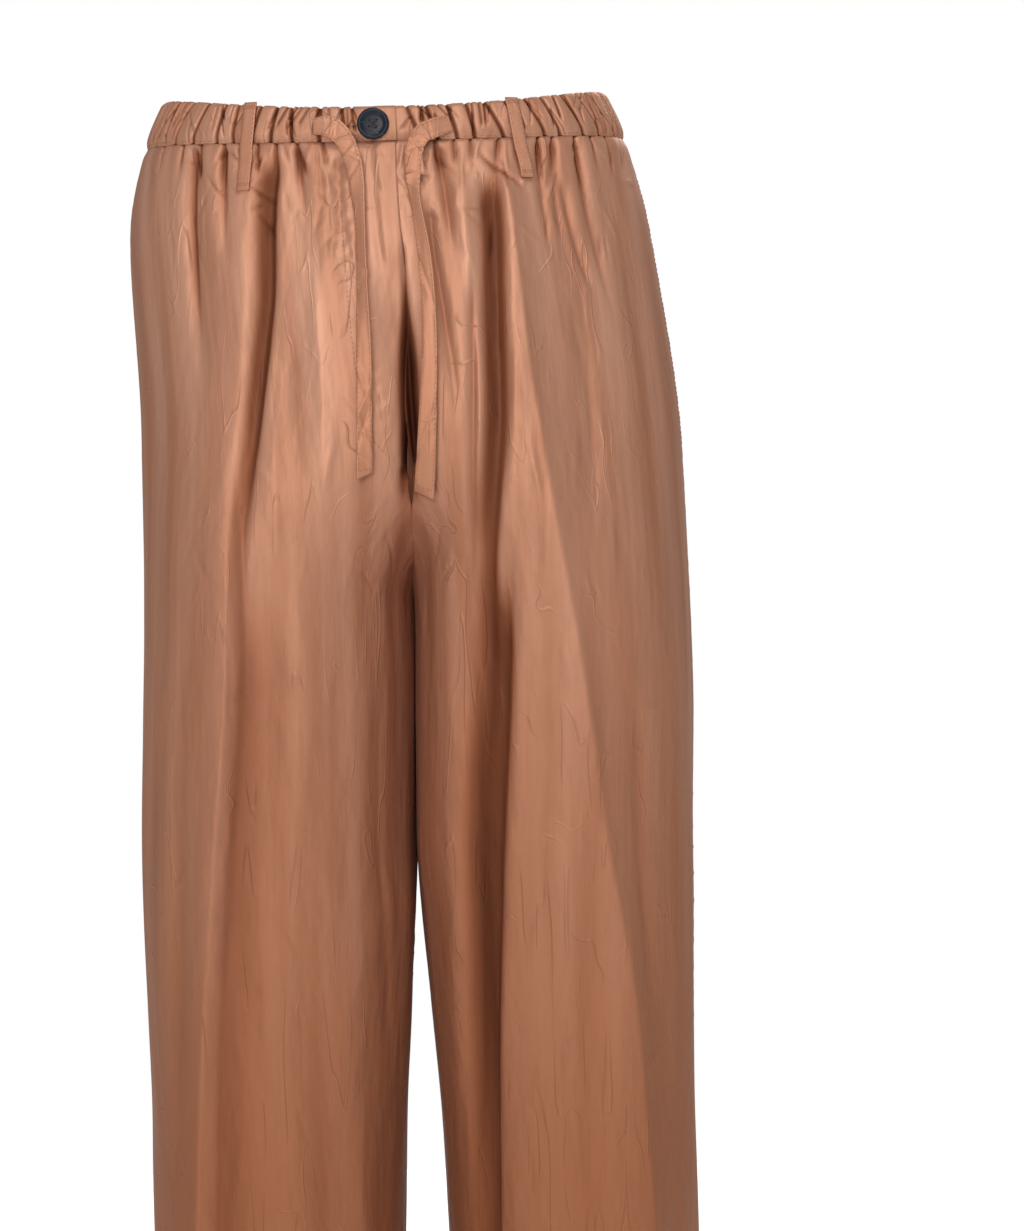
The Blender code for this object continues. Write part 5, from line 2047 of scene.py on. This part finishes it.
@dataclass
class TieFlap:
    """The part of a tie that is folded over itself near the band, narrow above and wide below."""

    form: TrouserForm
    name: str
    top: tuple
    low_left: tuple
    low_right: tuple
    lift_top: float = 4.6
    lift_low: float = 5.4
    rows: int = 24
    columns: int = 10
    cloth: float = 0.8

    def build(self, finishes: Finishes) -> bpy.types.Object:
        """Build and dress the flap.

        Args:
            finishes: The finishes.

        Returns:
            The object.
        """
        def place(row: int, shares: np.ndarray) -> tuple:
            """Row of the flap."""
            t = row / self.rows
            belly = 0.8 * math.sin(math.pi * min(1.0, t * 1.1))
            roll = -2.2 * max(0.0, (t - 0.86) / 0.14) ** 2
            points = []
            for share in shares.tolist():
                low_x = self.low_left[0] + (self.low_right[0] - self.low_left[0]) * share
                low_z = self.low_left[1] + (self.low_right[1] - self.low_left[1]) * share
                x = self.top[0] + 1.2 * (share - 0.5) + (low_x - self.top[0]) * t ** 0.85
                z = self.top[1] + (low_z - self.top[1]) * t
                lift = self.lift_top + (self.lift_low - self.lift_top) * t
                lift += belly * math.sin(math.pi * share)
                base, out, height = self.form.outer_skin(x, z, Face.FRONT, 4.0)
                points.append(list((base + out * (height + lift + roll)) * MM))
            return np.array(points), shares * TIE_CLOTH_WIDTH * MM, np.zeros(len(shares))

        sheet = ClothSheet(self.name, self.columns, self.rows, self.cloth, place)
        obj = sheet.build()
        finish_piece(obj, finishes.tie, ())
        return obj


@dataclass
class Button:
    """A four-hole button with a rolled rim and its crossed thread."""

    radius: float = 9.0
    height: float = 3.2
    hole: float = 0.95
    pitch: float = 1.75
    thread_front: float = 2.35

    def seat(self) -> Vector:
        """Middle of the button's back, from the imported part.

        Returns:
            The point in metres.
        """
        low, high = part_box("button")
        return Vector(((low[0] + high[0]) / 2, high[1], (low[2] + high[2]) / 2))

    def build(self, finishes: Finishes) -> None:
        """Build the disc and its thread.

        Args:
            finishes: The finishes.
        """
        seat = self.seat()
        turn = Matrix.Rotation(math.radians(3.0), 4, "Y") @ Matrix.Rotation(math.pi / 2, 4, "X")
        disc = self.disc()
        bmesh.ops.transform(disc, matrix=Matrix.Translation(seat) @ turn, verts=disc.verts)
        obj = object_from("resin_button", disc)
        obj.data.set_sharp_from_angle(angle=math.radians(48.0))
        finish_piece(obj, finishes.resin, ("button",))
        sewing = Stitching("button_thread", radius=0.34)
        reach = self.pitch * MM
        front = seat.y - self.thread_front * MM
        corners = [Vector((seat.x + sx * reach, front, seat.z + sz * reach))
                   for sx, sz in ((-1, 1), (1, 1), (1, -1), (-1, -1))]
        for first, second in ((0, 2), (1, 3), (0, 1), (2, 3)):
            for offset in (-0.25, 0.25):
                shift = Vector((offset * MM, -0.12 * MM, offset * MM))
                sewing.single(corners[first] + shift, corners[second] + shift)
        sewing.finish(finishes.dark_thread)

    def disc(self) -> bmesh.types.BMesh:
        """Turn the profile and cut the four holes.

        Returns:
            The mesh in metres, face up.
        """
        profile = (
            (0.0, 0.0), (6.4, 0.0), (7.8, 0.35), (8.6, 0.9), (self.radius, 1.7), (8.95, 2.2),
            (8.6, 2.8), (8.1, 3.1), (7.6, self.height), (7.1, 3.05), (6.6, 2.7), (6.0, 2.35),
            (5.3, 2.15), (4.2, 2.05), (0.0, 2.0),
        )
        bm = bmesh.new()
        verts = [bm.verts.new((radius * MM, 0.0, height * MM)) for radius, height in profile]
        edges = [bm.edges.new(pair) for pair in zip(verts[:-1], verts[1:])]
        bmesh.ops.spin(
            bm, geom=verts + edges, cent=(0.0, 0.0, 0.0), axis=(0.0, 0.0, 1.0),
            angle=2.0 * math.pi, steps=72, use_merge=True, use_duplicate=False,
        )
        bmesh.ops.remove_doubles(bm, verts=bm.verts, dist=0.00001)
        bmesh.ops.recalc_face_normals(bm, faces=bm.faces)
        body = object_from("button_blank", bm)
        cutters = []
        diagonal = self.pitch * 1.414 * MM
        for index in range(4):
            angle = math.radians(45.0 + 90.0 * index)
            cutter = bmesh.new()
            x, y = diagonal * math.cos(angle), diagonal * math.sin(angle)
            place = Matrix.Translation((x, y, 0.0))
            bmesh.ops.create_cone(
                cutter, cap_ends=True, segments=24, radius1=self.hole * MM,
                radius2=self.hole * MM, depth=4.0 * self.height * MM, matrix=place,
            )
            tool = object_from(f"hole_cutter_{index}", cutter)
            cutters.append(tool)
            cut = body.modifiers.new(f"hole_{index}", "BOOLEAN")
            cut.operation = "DIFFERENCE"
            cut.solver = "EXACT"
            cut.object = tool
        graph = bpy.context.evaluated_depsgraph_get()
        made = bmesh.new()
        made.from_mesh(body.evaluated_get(graph).to_mesh())
        for obj in [body, *cutters]:
            bpy.data.objects.remove(obj, do_unlink=True)
        if made.calc_volume(signed=True) < 0.0:
            bmesh.ops.reverse_faces(made, faces=made.faces)
        return made


@dataclass
class Slot:
    """A stitched slit in the band: the buttonhole, or where a tie comes out."""

    form: TrouserForm
    name: str
    x: float
    z: float
    length: float
    turn: float
    bite: float = 1.1
    pitch: float = 0.62

    def build(self, finishes: Finishes, sewing: Stitching) -> bpy.types.Object:
        """Build the dark slit, a painted shadow of the opening, and its close stitches.

        Args:
            finishes: The finishes.
            sewing: The stitches to add to.

        Returns:
            The slit.
        """
        angle = math.radians(self.turn)
        run = Vector((math.sin(angle), 0.0, math.cos(angle)))
        side = Vector((run.z, 0.0, -run.x))
        # Painted shadow: a dark strand along the slit stands in for the shade inside it.
        slit = Stitching(self.name, radius=0.38)
        spots = []
        for share in np.linspace(-0.5, 0.5, 9):
            at = run * (self.length * float(share))
            spots.append(self.form.on_skin(self.x + at.x, self.z + at.z, Face.FRONT, 0.0))
        for start, end in zip(spots[:-1], spots[1:]):
            slit.single(start - (end - start) * 0.15, end + (end - start) * 0.15)
        steps = max(6, int(self.length / self.pitch))
        for index in range(steps + 1):
            at = run * (self.length * (index / steps - 0.5))
            for sign in (-1.0, 1.0):
                ends = []
                for reach in (0.3, self.bite):
                    spot = at + side * (sign * reach)
                    x, z = self.x + spot.x, self.z + spot.z
                    ends.append(self.form.on_skin(x, z, Face.FRONT, THREAD_LIFT))
                sewing.single(*ends)
        return slit.finish(finishes.shade)


class Lamp(NamedTuple):
    """One soft square light: place and edge in metres, power in watts."""

    name: str
    at: tuple
    size: float
    power: float
    colour: tuple


LAMPS = (
    Lamp("key_left", (-0.55, -2.6, 0.35), 0.7, 27.0, (1.0, 0.99, 0.98)),
    Lamp("top_soft", (0.30, -1.3, 1.15), 0.9, 13.0, (1.0, 0.985, 0.975)),
    Lamp("back_soft", (0.9, 2.4, 1.3), 1.4, 32.0, (1.0, 0.99, 0.98)),
)


@dataclass
class Studio:
    """Camera, lights, floor and the white air round them."""

    distance: float = 3.0
    centre_x: float = 0.0672
    centre_z: float = -0.3009
    frame_height: float = 0.714
    sensor: float = 36.0
    roll: float = 1.3
    floor_z: float = -1.10
    floor_reach: float = 4.5
    floor_light: float = 0.30
    floor_seen: float = 0.9
    air_light: float = 0.32
    aim: tuple = (0.02, 0.0, -0.35)

    def camera(self) -> None:
        """Place the camera at the photo's viewing angle."""
        data = bpy.data.cameras.new("view")
        data.sensor_width = self.sensor
        data.lens = self.sensor * self.distance / self.frame_height
        obj = bpy.data.objects.new("view", data)
        bpy.context.scene.collection.objects.link(obj)
        place = Matrix.Translation((self.centre_x, -self.distance, self.centre_z))
        level = Matrix.Rotation(math.pi / 2, 4, "X")
        obj.matrix_world = place @ (level @ Matrix.Rotation(math.radians(-self.roll), 4, "Z"))
        bpy.context.scene.camera = obj

    def light(self, lamp: Lamp) -> None:
        """Place a soft area light that looks at the trousers.

        Args:
            lamp: Its name, place, size, power and colour.
        """
        data = bpy.data.lights.new(lamp.name, "AREA")
        data.shape = "SQUARE"
        data.size = lamp.size
        data.energy = lamp.power
        data.color = lamp.colour
        obj = bpy.data.objects.new(lamp.name, data)
        bpy.context.scene.collection.objects.link(obj)
        turn = (Vector(self.aim) - Vector(lamp.at)).to_track_quat("-Z", "Y")
        obj.matrix_world = Matrix.Translation(lamp.at) @ turn.to_matrix().to_4x4()

    def stage(self) -> None:
        """Pale floor, the lights and the air."""
        pale, ground, shader, _ = new_finish("pale_studio")
        looked_at = ground.add("ShaderNodeLightPath").outputs["Is Camera Ray"]
        ground.fill(shader, {
            "Base Color": (0.9, 0.9, 0.9, 1.0), "Roughness": 0.9, "Emission Color": WHITE,
            "Emission Strength": ground.band_pass(
                looked_at, 0.0, 1.0, self.floor_light, self.floor_seen),
        })
        bm = bmesh.new()
        matrix = Matrix.Translation((0.0, 0.0, self.floor_z))
        bmesh.ops.create_grid(
            bm, x_segments=2, y_segments=2, size=self.floor_reach, matrix=matrix,
        )
        floor = object_from("floor", bm)
        floor.data.materials.append(pale)
        for lamp in LAMPS:
            self.light(lamp)
        world = bpy.data.worlds.new("studio_air")
        world.use_nodes = True
        board = NodeBoard(world.node_tree)
        seen = board.add("ShaderNodeLightPath").outputs["Is Camera Ray"]
        strength = board.band_pass(seen, 0.0, 1.0, self.air_light, 1.0)
        board.fill(world.node_tree.nodes["Background"], {"Color": WHITE, "Strength": strength})
        bpy.context.scene.world = world
        bpy.context.scene.view_settings.view_transform = "Standard"


TIE_RIGHT_ROUTE = (
    TiePoint(-37.0, -24.0, 0.6, 9.0, 0.0),
    TiePoint(-29.0, -24.5, 2.2, 12.0, 0.0),
    TiePoint(-21.5, -30.5, 3.2, 11.0, 6.0),
    TiePoint(-16.5, -42.0, 2.6, 10.5, 10.0),
    TiePoint(-13.5, -58.0, 2.0, 9.5, 20.0),
    TiePoint(-11.6, -80.0, 2.4, 7.0, 42.0),
    TiePoint(-11.4, -105.0, 2.6, 6.6, 38.0),
    TiePoint(-11.8, -150.0, 3.0, 8.6, 8.0),
    TiePoint(-12.8, -190.0, 3.4, 8.8, -4.0),
    TiePoint(-13.4, -221.0, 4.0, 9.4, -6.0),
)
TIE_LEFT_ROUTE = (
    TiePoint(38.0, -24.0, 0.6, 9.0, 0.0),
    TiePoint(30.0, -26.5, 2.2, 11.0, 0.0),
    TiePoint(22.0, -31.0, 3.2, 10.5, 4.0),
    TiePoint(18.0, -41.0, 2.6, 10.0, 8.0),
    TiePoint(17.6, -54.0, 2.0, 9.0, 14.0),
    TiePoint(19.4, -68.0, 2.2, 6.6, 40.0),
    TiePoint(23.6, -100.0, 2.4, 7.6, 24.0),
    TiePoint(25.0, -140.0, 3.0, 8.2, 10.0),
    TiePoint(22.8, -190.0, 3.4, 10.2, 2.0),
    TiePoint(20.4, -232.0, 4.0, 12.0, -4.0),
)
BELT_LOOPS = (
    ("belt_loop_front_left", Face.FRONT, 72.6, -8.5, 80.2, -54.5),
    ("belt_loop_front_right", Face.FRONT, -72.7, -8.0, -78.3, -58.5),
    ("belt_loop_back_left", Face.BACK, 88.0, 0.5, 92.0, -50.0),
    ("belt_loop_back_right", Face.BACK, -88.0, 0.5, -91.0, -50.0),
    ("belt_loop_back_middle", Face.BACK, 0.0, 2.5, 1.0, -48.0),
)
SLOTS = (
    ("buttonhole_slit", -15.0, -24.5, 14.0, 82.0),
    ("tie_slit_right", -37.5, -24.0, 9.0, 4.0),
    ("tie_slit_left", 38.5, -24.0, 9.0, 176.0),
)
FLY_STITCH = (
    (-22.2, -39.9), (-23.6, -65.0), (-22.0, -94.5), (-19.0, -140.0), (-15.5, -177.8),
    (-12.5, -192.0), (-7.5, -202.0), (0.5, -211.5), (11.5, -216.0),
)


def sew_fly(form: TrouserForm, sewing: Stitching) -> None:
    """The curved line of stitches beside the lapped fly.

    Args:
        form: The worn shape.
        sewing: The stitches to add to.
    """
    spots = np.array(FLY_STITCH)
    lengths = run_lengths(spots)
    line = []
    for mark in np.arange(0.0, lengths[-1], 2.0):
        x = float(np.interp(mark, lengths, spots[:, 0]))
        z = float(np.interp(mark, lengths, spots[:, 1]))
        line.append(form.on_skin(x, z, Face.FRONT, 0.03))
    sewing.run(line)


def main() -> None:
    """Build the trousers and the studio round them."""
    logging.basicConfig(level=logging.INFO, format="%(name)s %(message)s")
    studio = Studio()
    studio.camera()
    form = TrouserForm()
    finishes = Finishes()
    sewing = Stitching("copper_stitches")
    Tie(form, "satin_tie_right", "tie_right", TIE_RIGHT_ROUTE, 4.0, 3).build(finishes, sewing)
    fold = TieFlap(form, "satin_tie_fold", (20.6, -31.0), (12.8, -52.4), (23.4, -54.2))
    left = Tie(form, "satin_tie_left", "tie_left", TIE_LEFT_ROUTE, -2.0, 8)
    left.build(finishes, sewing, (fold.build(finishes),))
    for half in Half:
        for face in Face:
            panel = Panel(form, half, face)
            panel.build(finishes)
            sewing.run(panel.hem_line(24.0, 60))
        band = Waistband(form, half)
        band.build(finishes)
        sewing.run(band.seam_line(0.93, 400))
        PocketPiece(form, half).build(finishes)
        front = Panel(form, half, Face.FRONT)
        sewing.run(front.edge_line(-52.0, -205.0, 2.2, 60))
    for row in BELT_LOOPS:
        BeltLoop(form, *row).build(finishes, sewing)
    sew_fly(form, sewing)
    Button().build(finishes)
    for row in SLOTS:
        Slot(form, *row).build(finishes, sewing)
    sewing.finish(finishes.thread)
    studio.stage()


if __name__ == "__main__":
    main()
